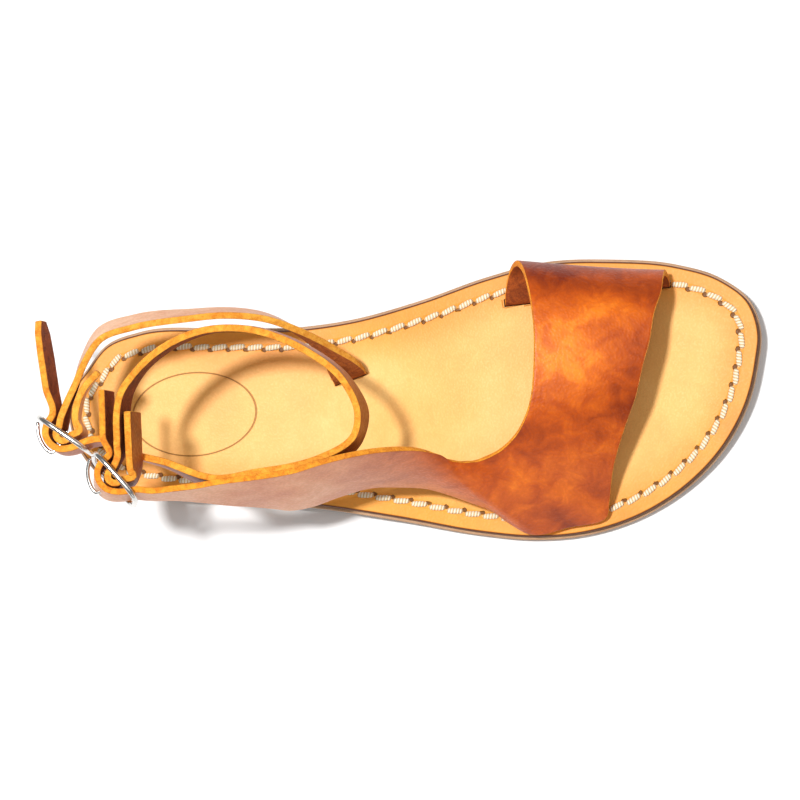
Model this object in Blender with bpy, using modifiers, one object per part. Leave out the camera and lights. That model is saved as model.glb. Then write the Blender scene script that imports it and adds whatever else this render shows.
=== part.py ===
"""A right-foot leather sandal, standing empty: outsole with a low heel, insole with three slots,
one wall of leather that is toe band, side panel and rear strap, two more straps and two buckles.
+X runs to the toe, +Y to the big-toe side, +Z up. The origin is on the ground under the heel."""

import math

import bmesh
import bpy
import numpy as np
from mathutils import Matrix, Vector

# Sole, in metres.
SOLE_LENGTH = 0.249
BALL_WIDTH = 0.098
HEEL_SEAT = 0.0306
OUTSOLE_THICKNESS = 0.0040
INSOLE_THICKNESS = 0.0030
HEEL_HEIGHT = 0.0050
TOE_SPRING = 0.0050
SOLE_MARGIN = 0.0012

# Upper: heights above the insole.
INSTEP_RISE = 0.0315
PANEL_RISE = 0.0660
UPPER_WALL = 0.0022
CROWN = 0.0012

# Straps and buckles. The heel strap's middle stands at HEEL_STRAP_RISE above the insole, and the
# ankle strap's lies one strap width and BAND_GAP higher, so that neither touches the other.
STRAP_WIDTH = 0.0120
STRAP_THICKNESS = 0.0024
HEEL_STRAP_RISE = 0.0450
BAND_GAP = 0.0030
REAR_TAIL = 0.0225
ANKLE_TAIL = 0.0330
BUCKLE_LENGTH = 0.0225
OVAL_POWER = 4.0
BUCKLE_MARGIN = 0.0016
WIRE = 0.0018
PRONG = 0.0013

CLEARANCE = 0.0003

# What follows from the sizes above.
ANKLE_STRAP_RISE = HEEL_STRAP_RISE + STRAP_WIDTH + BAND_GAP
BUCKLE_HEIGHT = STRAP_WIDTH + 2 * (WIRE + BUCKLE_MARGIN)
FOLD_RADIUS = WIRE / 2 + CLEARANCE + STRAP_THICKNESS / 2
OVER_RADIUS = FOLD_RADIUS + CLEARANCE + STRAP_THICKNESS
SLOT_DEPTH = 0.6 * INSOLE_THICKNESS
STRAP_TOP = OVER_RADIUS + STRAP_THICKNESS / 2
PRONG_GAP = CLEARANCE + PRONG / 2

# The edge of the insole, from the back of the heel along the big-toe side and back.
# Columns: along, share of SOLE_LENGTH; across, share of BALL_WIDTH.
INSOLE_EDGE = (
    (0.000, 0.000),
    (0.007, 0.085),
    (0.032, 0.166),
    (0.060, 0.242),
    (0.111, 0.281),
    (0.230, 0.270),
    (0.351, 0.252),
    (0.418, 0.265),
    (0.518, 0.317),
    (0.620, 0.388),
    (0.705, 0.426),
    (0.798, 0.417),
    (0.892, 0.378),
    (0.952, 0.315),
    (0.988, 0.230),
    (1.000, 0.108),
    (0.994, 0.015),
    (0.977, -0.127),
    (0.933, -0.304),
    (0.880, -0.424),
    (0.814, -0.514),
    (0.731, -0.565),
    (0.662, -0.567),
    (0.584, -0.536),
    (0.471, -0.464),
    (0.351, -0.396),
    (0.227, -0.350),
    (0.118, -0.312),
    (0.059, -0.262),
    (0.024, -0.178),
    (0.005, -0.085),
)

# Where the sole changes height, as shares of SOLE_LENGTH from the back of the heel.
BREAST = 0.315
WAIST_START = 0.330
WAIST_END = 0.610
SPRING_START = 0.780

# The toe band, from its slot on the big-toe side over the foot to the fold on the little-toe side.
# Columns: front and back edge, each along, across and rise, a share of INSTEP_RISE.
BAND_SECTIONS = (
    (0.881, 0.317, 0.000, 0.643, 0.295, 0.000),
    (0.881, 0.318, 0.035, 0.643, 0.296, 0.035),
    (0.880, 0.332, 0.110, 0.645, 0.332, 0.100),
    (0.875, 0.350, 0.270, 0.653, 0.398, 0.220),
    (0.870, 0.325, 0.450, 0.664, 0.421, 0.470),
    (0.865, 0.272, 0.580, 0.673, 0.392, 0.680),
    (0.853, 0.201, 0.690, 0.680, 0.309, 0.850),
    (0.843, 0.101, 0.745, 0.684, 0.176, 0.970),
    (0.830, 0.008, 0.755, 0.680, 0.031, 1.000),
    (0.818, -0.090, 0.710, 0.672, -0.084, 0.970),
    (0.799, -0.200, 0.610, 0.656, -0.172, 0.910),
    (0.780, -0.333, 0.430, 0.635, -0.230, 0.860),
    (0.771, -0.452, 0.190, 0.614, -0.262, 0.840),
    (0.765, -0.511, 0.085, 0.596, -0.278, 0.840),
    (0.713, -0.535, 0.085, 0.580, -0.282, 0.870),
    (0.660, -0.552, 0.100, 0.565, -0.279, 0.920),
)

# The side panel, from the fold back to the ankle, where it is as narrow as a strap.
# Columns: lower and upper edge, each along, across and rise, a share of PANEL_RISE.
PANEL_SECTIONS = (
    (0.631, -0.507, 0.078, 0.550, -0.268, 0.475),
    (0.609, -0.460, 0.118, 0.537, -0.248, 0.535),
    (0.575, -0.418, 0.160, 0.521, -0.234, 0.595),
    (0.521, -0.362, 0.220, 0.497, -0.226, 0.675),
    (0.480, -0.347, 0.262, 0.463, -0.228, 0.770),
    (0.439, -0.343, 0.298, 0.427, -0.240, 0.860),
    (0.393, -0.368, 0.325, 0.388, -0.260, 0.920),
    (0.355, -0.396, 0.345, 0.355, -0.281, 0.955),
    (0.329, -0.403, 0.375, 0.330, -0.289, 0.970),
    (0.309, -0.394, 0.430, 0.305, -0.294, 0.982),
    (0.284, -0.383, 0.530, 0.283, -0.297, 0.992),
    (0.254, -0.373, 0.650, 0.255, -0.301, 0.998),
    (0.224, -0.358, 0.755, 0.226, -0.309, 1.000),
    (0.191, -0.345, 0.800, 0.194, -0.313, 1.000),
)

# The fold under the band's end: from the fold's line inwards and down through its slot.
# Columns: front and back, each along and across; layers of wall above the insole, a share that is
# 1 where the tab lies on the insole and 0 at the slot's mouth.
FOLD_SECTIONS = (
    (0.764, -0.506, 0.660, -0.545, 1.25),
    (0.762, -0.485, 0.659, -0.520, 1.00),
    (0.757, -0.437, 0.656, -0.470, 1.00),
    (0.754, -0.405, 0.654, -0.439, 0.70),
    (0.753, -0.398, 0.654, -0.431, 0.00),
)

# Columns of the strap tables: along, across; shares of ANKLE_STRAP_RISE and of HEEL_STRAP_RISE,
# added up; the direction from the lower to the upper edge, as toe, big-toe side and up.
ANKLE_FOLD_APPROACH = (
    (0.125, -0.145, 1.00, 0.00, -0.08, 0.00, 1.0),
    (0.128, -0.040, 1.00, 0.00, -0.10, 0.00, 1.0),
    (0.133, 0.015, 1.00, 0.00, -0.08, 0.00, 1.0),
    (0.155, 0.095, 1.00, 0.00, 0.00, -0.04, 1.0),
    (0.196, 0.172, 1.00, 0.00, 0.00, -0.05, 1.0),
    (0.247, 0.216, 1.00, 0.00, 0.00, -0.07, 1.0),
    (0.300, 0.214, 0.99, 0.00, 0.00, -0.07, 1.0),
    (0.378, 0.134, 0.94, 0.00, -0.05, -0.06, 1.0),
    (0.431, 0.010, 0.88, 0.00, -0.12, 0.00, 1.0),
    (0.446, -0.100, 0.83, 0.00, -0.15, 0.04, 1.0),
    (0.437, -0.178, 0.80, 0.00, -0.06, 0.14, 1.0),
)
# Where the ankle strap lies inside the side panel: a row of PANEL_SECTIONS, and a share of its
# height for the strap's middle.
ANKLE_INSIDE_PANEL = ((6, 0.78), (7, 0.79), (9, 0.77), (11, 0.58))

ANKLE_AFTER_PANEL = (
    (0.175, -0.222, 0.35, 0.67, 0.05, 0.10, 1.0),
    (0.125, -0.178, 0.00, 1.00, 0.00, 0.05, 1.0),
)
HEEL_STRAP_RUN = (
    (0.412, 0.065, 0.00, 0.00, 0.96, 0.28, 0.0),
    (0.412, 0.072, 0.00, 0.10, 0.94, 0.28, 0.12),
    (0.392, 0.148, 0.00, 0.28, 0.48, 0.12, 0.86),
    (0.352, 0.228, 0.00, 0.56, 0.22, -0.10, 0.97),
    (0.314, 0.274, 0.00, 0.73, 0.14, -0.20, 0.97),
    (0.264, 0.294, 0.00, 0.86, 0.06, -0.25, 0.97),
    (0.214, 0.292, 0.00, 0.93, 0.00, -0.30, 0.95),
    (0.140, 0.280, 0.00, 0.99, 0.06, -0.40, 0.92),
    (0.092, 0.246, 0.00, 1.00, 0.22, -0.35, 0.92),
    (0.068, 0.163, 0.00, 1.00, 0.28, -0.12, 0.95),
    (0.053, 0.076, 0.00, 1.00, 0.20, -0.05, 0.98),
    (0.040, 0.008, 0.00, 1.00, 0.15, 0.00, 0.99),
)
ANKLE_TAB = (
    (0.140, -0.235, 1.00, 0.00, -0.06, 0.00, 1.0),
    (0.141, -0.160, 1.00, 0.00, -0.10, 0.00, 1.0),
    (0.142, -0.045, 1.00, 0.00, -0.10, 0.00, 1.0),
)
HEEL_TAB = (
    (0.052, -0.052, 0.00, 1.00, 0.12, 0.00, 1.0),
    (0.055, 0.003, 0.00, 1.00, 0.14, 0.00, 1.0),
    (0.066, 0.064, 0.00, 1.00, 0.18, -0.04, 1.0),
    (0.085, 0.113, 0.00, 1.00, 0.20, -0.10, 1.0),
)

# How a strap passes its buckle: inside the near rail, over the bar, inside the far rail.
# Columns: run, share of half of BUCKLE_LENGTH; out, share of OVER_RADIUS.
OVER_PATH = (
    (-1.00, -1.08),
    (-0.70, -0.42),
    (-0.52, 0.25),
    (-0.36, 0.66),
    (-0.20, 0.92),
    (0.00, 1.04),
    (0.25, 0.95),
    (0.45, 0.64),
    (0.57, 0.10),
    (0.60, -0.62),
)

# How the other strap is folded round the bar: angles from the far side, in degrees, and where it
# meets and leaves that fold, run and out as shares of FOLD_RADIUS.
FOLD_ANGLES = (-12, 22, 56, 90, 124, 158, 192)
FOLD_START = (1.5, -1.5)
FOLD_END = (-1.7, -1.7)

# The prong, from the bar out through both straps and on to the far rail.
# Columns: run, share of half of BUCKLE_LENGTH; out, as lengths along it that are named below.
PRONG_START = WIRE / 2 + CLEARANCE
PRONG_PATH = (
    (0.00, PRONG_START),
    (0.00, STRAP_TOP + PRONG_GAP - 0.9 * PRONG),
    (0.06, STRAP_TOP + PRONG_GAP + 0.2 * PRONG),
    (0.16, STRAP_TOP + PRONG_GAP + 0.3 * PRONG),
    (0.40, STRAP_TOP + PRONG_GAP - 0.05 * OVER_RADIUS),
    (0.72, STRAP_TOP + PRONG_GAP - 0.48 * OVER_RADIUS),
    (0.93, WIRE / 2 + PRONG_GAP + 0.1 * PRONG),
)

# Columns: along, across; which strap's height; turn from the toe and lean inwards, in degrees.
ANKLE_BUCKLE = (0.112, -0.268, ANKLE_STRAP_RISE, 128, 18)
HEEL_BUCKLE = (0.035, -0.098, HEEL_STRAP_RISE, 142, 6)

# The tails run straight on from their buckles. Ways are toe, big-toe side and up.
REAR_TAIL_WAY = (0.03, 1.0, 0.0)
ANKLE_TAIL_WAY = (-0.09, 1.0, 0.0)
TAIL_ACROSS = (-0.08, 0.0, 1.0)
TAIL_START = 0.3
# The ankle strap's tip. Lengths from the end, and shares of the full width there.
TIP_LENGTHS = (0.0, 0.004, 0.012)
TIP_WIDTHS = (0.45, 0.85, 1.0)

# How finely the surfaces are divided. TURN_WEIGHT is the length that a full change of direction
# counts for when rows are spaced.
BREAST_RUN = 0.003
SOLE_COLUMNS = (0.0, 0.35, 0.7, 1.0)
EDGE_POINTS = 1200
SOLE_STATIONS = 52
UPPER_STEP = 0.0055
UPPER_STEPS = 8
FOLD_STATIONS = 16
STRAP_STEP = 0.0040
WIRE_POINTS = 30
PRONG_POINTS = 16
TURN_WEIGHT = 0.01
# The crown starts past the rows that rise from the slot, already at this angle of its sine.
FLAT_ROWS = 4
CROWN_START = 0.15


def world_x(along):
    return along * SOLE_LENGTH - HEEL_SEAT


def knots_of(rows):
    gaps = np.linalg.norm(np.diff(rows, axis=0), axis=1)
    return np.concatenate(([0.0], np.cumsum(gaps)))


def evenly(rows, count):
    return np.linspace(0.0, knots_of(rows)[-1], count)


def span_by_span(rows, step):
    """Places along the rows about a step apart, with one at every row."""
    knots = knots_of(rows)
    spans = [
        np.linspace(start, end, max(1, round((end - start) / step)), endpoint=False)
        for start, end in zip(knots[:-1], knots[1:])
    ]
    return np.concatenate(spans + [knots[-1:]])


def smooth(rows, where):
    """Points on a cubic curve through the rows, its slopes the means of its chords' slopes."""
    knots = knots_of(rows)
    gaps = np.diff(knots)[:, None]
    slopes = np.diff(rows, axis=0) / gaps
    inner = (slopes[:-1] * gaps[1:] + slopes[1:] * gaps[:-1]) / (gaps[:-1] + gaps[1:])
    tangents = np.vstack((slopes[:1], inner, slopes[-1:]))
    span = np.clip(np.searchsorted(knots, where, side="right") - 1, 0, len(gaps) - 1)
    gap = gaps[span]
    u = (where - knots[span])[:, None] / gap
    start = (1 + 2 * u) * (1 - u) ** 2 * rows[span] + u * (1 - u) ** 2 * gap * tangents[span]
    end = u**2 * (3 - 2 * u) * rows[span + 1] - u**2 * (1 - u) * gap * tangents[span + 1]
    return start + end


def unit(vector):
    vector = np.asarray(vector, float)
    return vector / np.linalg.norm(vector, axis=-1, keepdims=True)


def sole_lift(along):
    """Height of the sole's waist line: the heel's, eased down to the ball, and the toe spring."""
    heel = np.clip((WAIST_END - along) / (WAIST_END - WAIST_START), 0.0, 1.0)
    toe = np.clip((along - SPRING_START) / (1.0 - SPRING_START), 0.0, None)
    return HEEL_HEIGHT * heel * heel * (3 - 2 * heel) + TOE_SPRING * toe * toe


def insole_bottom(along):
    return sole_lift(along) + OUTSOLE_THICKNESS + CLEARANCE


def footbed(along):
    return insole_bottom(along) + INSOLE_THICKNESS


def sole_sides(margin):
    """Stations from heel to toe with the sole's edge on each side, moved outwards by the margin."""
    closed = np.array(INSOLE_EDGE + INSOLE_EDGE[:1]) * (SOLE_LENGTH, BALL_WIDTH)
    padded = np.vstack((closed[-3:-1], closed, closed[1:3]))
    edge = smooth(padded, evenly(padded, EDGE_POINTS))
    along_edge = np.gradient(edge, axis=0)
    outwards = unit(np.column_stack((-along_edge[:, 1], along_edge[:, 0])))
    edge = edge + margin * outwards
    half = EDGE_POINTS // 2
    back, tip = int(np.argmin(edge[:half, 0])), int(np.argmax(edge[:, 0]))
    last = half + int(np.argmin(edge[half:, 0]))
    medial, lateral = edge[back : tip + 1], edge[tip : last + 1][::-1]
    turn = np.linspace(0.0, math.pi, SOLE_STATIONS)
    stations = edge[back, 0] + (edge[tip, 0] - edge[back, 0]) * (1 - np.cos(turn)) / 2
    levels = (BREAST - BREAST_RUN, BREAST, WAIST_START, WAIST_END, SPRING_START)
    extra = SOLE_LENGTH * np.array(levels)
    stations = np.sort(np.concatenate((stations, extra)))
    medial = np.interp(stations, medial[:, 0], medial[:, 1])
    lateral = np.interp(stations, lateral[:, 0], lateral[:, 1])
    medial[[0, -1]] = lateral[[0, -1]]
    return stations, medial, lateral


def new_object(name, collection, vertices, faces):
    mesh = bpy.data.meshes.new(name)
    mesh.from_pydata([tuple(v) for v in vertices], [], faces)
    tidy = bmesh.new()
    tidy.from_mesh(mesh)
    bmesh.ops.remove_doubles(tidy, verts=tidy.verts, dist=1e-6)
    bmesh.ops.recalc_face_normals(tidy, faces=tidy.faces)
    tidy.to_mesh(mesh)
    tidy.free()
    obj = bpy.data.objects.new(name, mesh)
    collection.objects.link(obj)
    return obj


def sole_layer(name, collection, margin, low, high):
    """A loft over the sole's stations. low and high give the heights of its faces along the sole."""
    stations, medial, lateral = sole_sides(margin)
    along = stations / SOLE_LENGTH
    x = stations - HEEL_SEAT
    ring = [lateral + (medial - lateral) * share for share in SOLE_COLUMNS]
    under = [np.column_stack((x, y, low(along))) for y in ring]
    over = [np.column_stack((x, y, high(along))) for y in reversed(ring)]
    loops = np.stack(under + over, axis=1)
    count, size = loops.shape[:2]
    faces = []
    for i in range(count - 1):
        for j in range(size):
            k = (j + 1) % size
            faces.append((i * size + j, i * size + k, (i + 1) * size + k, (i + 1) * size + j))
    return new_object(name, collection, loops.reshape(-1, 3), faces)


def outsole_bottom(along):
    return np.where(along < BREAST - BREAST_RUN / 2, 0.0, sole_lift(along))


def wall(name, collection, grid, thickness):
    """A sheet on a grid of points, given its thickness to both sides."""
    rows, columns = grid.shape[:2]
    faces = []
    for i in range(rows - 1):
        for j in range(columns - 1):
            at = i * columns + j
            faces.append((at, at + 1, at + columns + 1, at + columns))
    mesh = bpy.data.meshes.new(name)
    mesh.from_pydata([tuple(v) for v in grid.reshape(-1, 3)], [], faces)
    mesh.shade_smooth()
    mesh.set_sharp_from_angle(angle=math.radians(40))
    obj = bpy.data.objects.new(name, mesh)
    collection.objects.link(obj)
    shell = obj.modifiers.new("Thickness", "SOLIDIFY")
    shell.thickness = thickness
    shell.offset = 0.0
    return obj


def edge_points(table, base):
    """World points of both edges of the sections, their rise a share of base."""
    table = np.array(table, float)
    sides = []
    for first in (0, 3):
        along, across, rise = table[:, first], table[:, first + 1], table[:, first + 2]
        height = footbed(along) + rise * base
        sides.append(np.column_stack((world_x(along), across * BALL_WIDTH, height)))
    return np.hstack(sides)


def strap_points(table):
    """World points of a strap's middle line, and the unit direction across it, for each row."""
    table = np.array(table, float)
    along, across, ankle, heel = table[:, :4].T
    height = footbed(along) + ankle * ANKLE_STRAP_RISE + heel * HEEL_STRAP_RISE
    middle = np.column_stack((world_x(along), across * BALL_WIDTH, height))
    return np.hstack((middle, unit(table[:, 4:7])))


class BuckleSeat:
    """Where a buckle sits: its middle, the way the strap runs, outwards, and up along the bar."""

    def __init__(self, along, across, rise, turn, lean):
        height = float(footbed(along)) + rise
        self.middle = np.array((world_x(along), across * BALL_WIDTH, height))
        turn, lean = math.radians(turn), math.radians(lean)
        level = np.array((-math.sin(turn), math.cos(turn), 0.0))
        self.run = np.array((math.cos(turn), math.sin(turn), 0.0))
        self.out = level * math.cos(lean) + np.array((0, 0, math.sin(lean)))
        self.up = np.array((0, 0, math.cos(lean))) - level * math.sin(lean)

    def point(self, run, out, up=0.0):
        return self.middle + run * self.run + out * self.out + up * self.up

    def over_rows(self):
        rows = []
        for run, out in OVER_PATH:
            middle = self.point(run * BUCKLE_LENGTH / 2, out * OVER_RADIUS)
            rows.append(np.concatenate((middle, self.up)))
        return np.array(rows)

    def fold_rows(self):
        turns = np.radians(FOLD_ANGLES)
        path = [FOLD_START, *zip(np.cos(turns), np.sin(turns)), FOLD_END]
        middles = [self.point(run * FOLD_RADIUS, out * FOLD_RADIUS) for run, out in path]
        return np.array([np.concatenate((middle, self.up)) for middle in middles])


def straight_tail(seat, direction, length, rows):
    """Rows of a tail that leaves its buckle and runs straight for its length."""
    start = seat.over_rows()[-1]
    way = unit(direction)
    shares = np.linspace(TAIL_START, 1.0, rows)
    return np.array([np.concatenate((start[:3] + way * length * s, TAIL_ACROSS)) for s in shares])


def ribbon_grid(rows, taper=None):
    """A strap as a grid: across the width at points about STRAP_STEP apart along its rows."""
    rows = rows * (1, 1, 1, TURN_WEIGHT, TURN_WEIGHT, TURN_WEIGHT)
    where = span_by_span(rows, STRAP_STEP)
    line = smooth(rows, where)
    middle, across = line[:, :3], unit(line[:, 3:])
    half = np.full(len(line), STRAP_WIDTH / 2)
    if taper is not None:
        half = half * np.interp(where[-1] - where, taper[0], taper[1])
    sides = np.linspace(-1.0, 1.0, 3)
    return middle[:, None] + across[:, None] * (half[:, None] * sides)[:, :, None]


def upper_edges():
    """Front or lower edge and back or upper edge of the upper, section by section."""
    slot = edge_points(BAND_SECTIONS[:1], 0.0)
    slot[:, (2, 5)] -= SLOT_DEPTH
    band = edge_points(BAND_SECTIONS, INSTEP_RISE)
    panel = edge_points(PANEL_SECTIONS, PANEL_RISE)
    seat = BuckleSeat(*ANKLE_BUCKLE)
    over = seat.over_rows()
    tail = straight_tail(seat, REAR_TAIL_WAY, REAR_TAIL, 4)
    straps = np.vstack((over, tail))
    across = unit(straps[:, 3:]) * STRAP_WIDTH / 2
    strap = np.hstack((straps[:, :3] - across, straps[:, :3] + across))
    return np.vstack((slot, band, panel, strap)), len(slot) + len(band) + len(panel)


def upper_grid():
    rows, crowned = upper_edges()
    weight = np.zeros(len(rows))
    weight[FLAT_ROWS:crowned] = np.sin(np.linspace(CROWN_START, math.pi, crowned - FLAT_ROWS))
    rows = np.column_stack((rows, weight * TURN_WEIGHT))
    line = smooth(rows, span_by_span(rows, UPPER_STEP))
    front, back, weight = line[:, None, :3], line[:, None, 3:6], line[:, 6] / TURN_WEIGHT
    share = np.linspace(0.0, 1.0, UPPER_STEPS)[None, :, None]
    flat = front * (1 - share) + back * share
    outwards = unit(np.cross(back[:, 0] - front[:, 0], np.gradient(flat[:, UPPER_STEPS // 2], axis=0)))
    crown = CROWN * weight[:, None] * np.sin(math.pi * share[0, :, 0])[None, :]
    return flat + crown[:, :, None] * outwards[:, None]


def fold_grid():
    """The tab folded under the band: from within the wall's edge, inwards, and down its slot."""
    table = np.array(FOLD_SECTIONS, float)
    resting = CLEARANCE + UPPER_WALL / 2
    sides = []
    for first in (0, 2):
        along, across = table[:, first], table[:, first + 1]
        height = footbed(along) + table[:, 4] * resting
        sides.append(np.column_stack((world_x(along), across * BALL_WIDTH, height)))
    rows = np.hstack(sides)
    bottom = rows[-1:].copy()
    bottom[:, (2, 5)] -= SLOT_DEPTH
    rows = np.vstack((rows, bottom))
    line = smooth(rows, evenly(rows, FOLD_STATIONS))
    share = np.linspace(0.0, 1.0, 5)[None, :, None]
    return line[:, None, :3] * (1 - share) + line[:, None, 3:6] * share


def panel_inside(section, share):
    """A strap row that lies against the panel's inside, at a share of the section's height."""
    low, high = np.split(edge_points(PANEL_SECTIONS[section : section + 1], PANEL_RISE)[0], 2)
    across = unit(high - low)
    inwards = unit(np.cross(across, (1.0, 0.0, 0.0)))
    depth = UPPER_WALL / 2 + CLEARANCE + STRAP_THICKNESS / 2
    return np.concatenate((low + (high - low) * share + inwards * depth, across))


def ankle_strap_rows():
    """The tab, the fold round the bar, the loop round the ankle, the heel buckle and the tail."""
    tab = strap_points(ANKLE_TAB)[::-1]
    fold = BuckleSeat(*ANKLE_BUCKLE).fold_rows()[::-1]
    loop = strap_points(ANKLE_FOLD_APPROACH)
    hidden = [panel_inside(section, share) for section, share in ANKLE_INSIDE_PANEL]
    back = strap_points(ANKLE_AFTER_PANEL)
    seat = BuckleSeat(*HEEL_BUCKLE)
    tail = straight_tail(seat, ANKLE_TAIL_WAY, ANKLE_TAIL, 5)
    return np.vstack((tab, fold, loop, hidden, back, seat.over_rows(), tail))


def heel_strap_rows():
    run = strap_points(HEEL_STRAP_RUN)
    bottom = run[:1].copy()
    bottom[:, 2] -= SLOT_DEPTH
    fold = BuckleSeat(*HEEL_BUCKLE).fold_rows()
    return np.vstack((bottom, run, fold, strap_points(HEEL_TAB)))


def slot_cutter(collection, name, ends, thickness):
    """A box that cuts a slot through the insole between two points, with clearance all round."""
    ends = np.array(ends)
    middle = ends.mean(axis=0)
    way = ends[1] - ends[0]
    bpy.ops.mesh.primitive_cube_add(size=1.0)
    cutter = bpy.context.active_object
    cutter.name = name
    size = (
        np.linalg.norm(way[:2]) + 2 * CLEARANCE,
        thickness + 2 * CLEARANCE,
        4 * INSOLE_THICKNESS,
    )
    cutter.matrix_world = (
        Matrix.Translation(Vector(middle))
        @ Matrix.Rotation(math.atan2(way[1], way[0]), 4, "Z")
        @ Matrix.Diagonal((*size, 1.0))
    )
    return to_helper(cutter, collection)


def to_helper(obj, collection):
    for owner in list(obj.users_collection):
        owner.objects.unlink(obj)
    collection.objects.link(obj)
    obj.hide_render = True
    obj.display_type = "WIRE"
    return obj


def boolean(obj, other, operation):
    modifier = obj.modifiers.new(operation.title(), "BOOLEAN")
    modifier.operation = operation
    modifier.object = other
    modifier.solver = "EXACT"


def wire_object(name, collection, points, diameter, cyclic):
    """A round wire along points, as a closed mesh."""
    curve = bpy.data.curves.new(name, "CURVE")
    curve.dimensions = "3D"
    curve.bevel_depth = diameter / 2
    curve.bevel_resolution = 2
    curve.use_fill_caps = not cyclic
    line = curve.splines.new("POLY")
    line.points.add(len(points) - 1)
    for target, point in zip(line.points, points):
        target.co = (*point, 1.0)
    line.use_cyclic_u = cyclic
    guide = bpy.data.objects.new(name + "_line", curve)
    collection.objects.link(guide)
    bpy.context.view_layer.update()
    mesh = bpy.data.meshes.new_from_object(guide.evaluated_get(bpy.context.evaluated_depsgraph_get()))
    bpy.data.objects.remove(guide)
    weld = bmesh.new()
    weld.from_mesh(mesh)
    bmesh.ops.remove_doubles(weld, verts=weld.verts, dist=1e-6)
    bmesh.ops.recalc_face_normals(weld, faces=weld.faces)
    weld.to_mesh(mesh)
    weld.free()
    mesh.name = name
    mesh.shade_smooth()
    mesh.set_sharp_from_angle(angle=math.radians(50))
    obj = bpy.data.objects.new(name, mesh)
    collection.objects.link(obj)
    return obj


def buckle_frame(name, collection, helpers, seat):
    """An oval of wire with a bar across its middle, on which a strap is folded."""
    turns = np.linspace(0.0, 2 * math.pi, WIRE_POINTS, endpoint=False)
    half_run = (BUCKLE_LENGTH - WIRE) / 2
    half_up = (BUCKLE_HEIGHT - WIRE) / 2
    oval = 2 / OVAL_POWER
    run = half_run * np.sign(np.cos(turns)) * np.abs(np.cos(turns)) ** oval
    up = half_up * np.sign(np.sin(turns)) * np.abs(np.sin(turns)) ** oval
    ring = [seat.point(r, 0.0, u) for r, u in zip(run, up)]
    frame = wire_object(name, collection, ring, WIRE, True)
    ends = [seat.point(0.0, 0.0, side * half_up) for side in (-1, 1)]
    bar = to_helper(wire_object(name + "_bar", collection, ends, WIRE * 0.98, False), helpers)
    boolean(frame, bar, "UNION")
    return frame


def buckle_prong(name, collection, seat):
    """A pin that leaves the bar, passes both straps and ends on the far rail."""
    rows = np.array([seat.point(run * BUCKLE_LENGTH / 2, out) for run, out in PRONG_PATH])
    points = smooth(rows, evenly(rows, PRONG_POINTS))
    return wire_object(name, collection, points, PRONG, False)


def prong_hole(name, helpers, seat):
    """A cutter for the holes that the prong goes through in both straps."""
    ends = [seat.point(0.0, WIRE / 4), seat.point(0.0, STRAP_TOP + STRAP_THICKNESS)]
    return to_helper(wire_object(name, helpers, ends, PRONG + 2.4 * CLEARANCE, False), helpers)


def material(name, colour, roughness, metallic=0.0):
    made = bpy.data.materials.new(name)
    made.use_nodes = True
    shader = made.node_tree.nodes["Principled BSDF"]
    shader.inputs["Base Color"].default_value = (*colour, 1.0)
    shader.inputs["Roughness"].default_value = roughness
    shader.inputs["Metallic"].default_value = metallic
    return made


def build_soles(parts, helpers):
    outsole = sole_layer(
        "outsole",
        parts,
        SOLE_MARGIN,
        outsole_bottom,
        lambda along: sole_lift(along) + OUTSOLE_THICKNESS,
    )
    insole = sole_layer("insole", parts, 0.0, insole_bottom, footbed)
    band = edge_points(BAND_SECTIONS[:1], 0.0)[0]
    fold = fold_grid()[-1]
    heel = ribbon_grid(heel_strap_rows())[0]
    slots = (
        ("band_slot", (band[:3], band[3:]), UPPER_WALL),
        ("fold_slot", (fold[0], fold[-1]), UPPER_WALL),
        ("heel_strap_slot", (heel[0], heel[-1]), STRAP_THICKNESS),
    )
    for name, ends, thickness in slots:
        boolean(insole, slot_cutter(helpers, name, ends, thickness), "DIFFERENCE")
    return {"outsole": outsole, "insole": insole}


def build_upper(parts, helpers):
    upper = wall("upper", parts, upper_grid(), UPPER_WALL)
    fold = to_helper(wall("band_fold", parts, fold_grid(), UPPER_WALL), helpers)
    boolean(upper, fold, "UNION")
    return upper


def build_straps(parts):
    ankle = wall("ankle_strap", parts, ribbon_grid(ankle_strap_rows(), (TIP_LENGTHS, TIP_WIDTHS)), STRAP_THICKNESS)
    heel = wall("heel_strap", parts, ribbon_grid(heel_strap_rows()), STRAP_THICKNESS)
    return {"ankle_strap": ankle, "heel_strap": heel}


def main():
    for obj in list(bpy.data.objects):
        bpy.data.objects.remove(obj)
    parts = bpy.data.collections.new("leather_sandal")
    helpers = bpy.data.collections.new("cutters")
    helpers.hide_render = True
    for collection in (parts, helpers):
        bpy.context.scene.collection.children.link(collection)

    made = build_soles(parts, helpers)
    made["upper"] = build_upper(parts, helpers)
    made.update(build_straps(parts))
    for place, row in (("ankle", ANKLE_BUCKLE), ("heel", HEEL_BUCKLE)):
        seat = BuckleSeat(*row)
        made[place + "_buckle_frame"] = buckle_frame(place + "_buckle_frame", parts, helpers, seat)
        made[place + "_buckle_prong"] = buckle_prong(place + "_buckle_prong", parts, seat)
        hole = prong_hole(place + "_prong_hole", helpers, seat)
        for strap in ("upper", "ankle_strap") if place == "ankle" else ("ankle_strap", "heel_strap"):
            boolean(made[strap], hole, "DIFFERENCE")

    finishes = {
        "outsole": material("outsole leather", (0.42, 0.25, 0.14), 0.6),
        "insole": material("insole leather", (0.80, 0.42, 0.13), 0.5),
        "upper": material("upper leather", (0.36, 0.09, 0.015), 0.4),
        "strap": material("strap leather", (0.50, 0.16, 0.03), 0.5),
        "buckle": material("buckle wire", (0.75, 0.74, 0.72), 0.25, 1.0),
    }
    for name, obj in made.items():
        key = name if name in finishes else "buckle" if "buckle" in name else "strap"
        obj.data.materials.append(finishes[key])


main()
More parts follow.
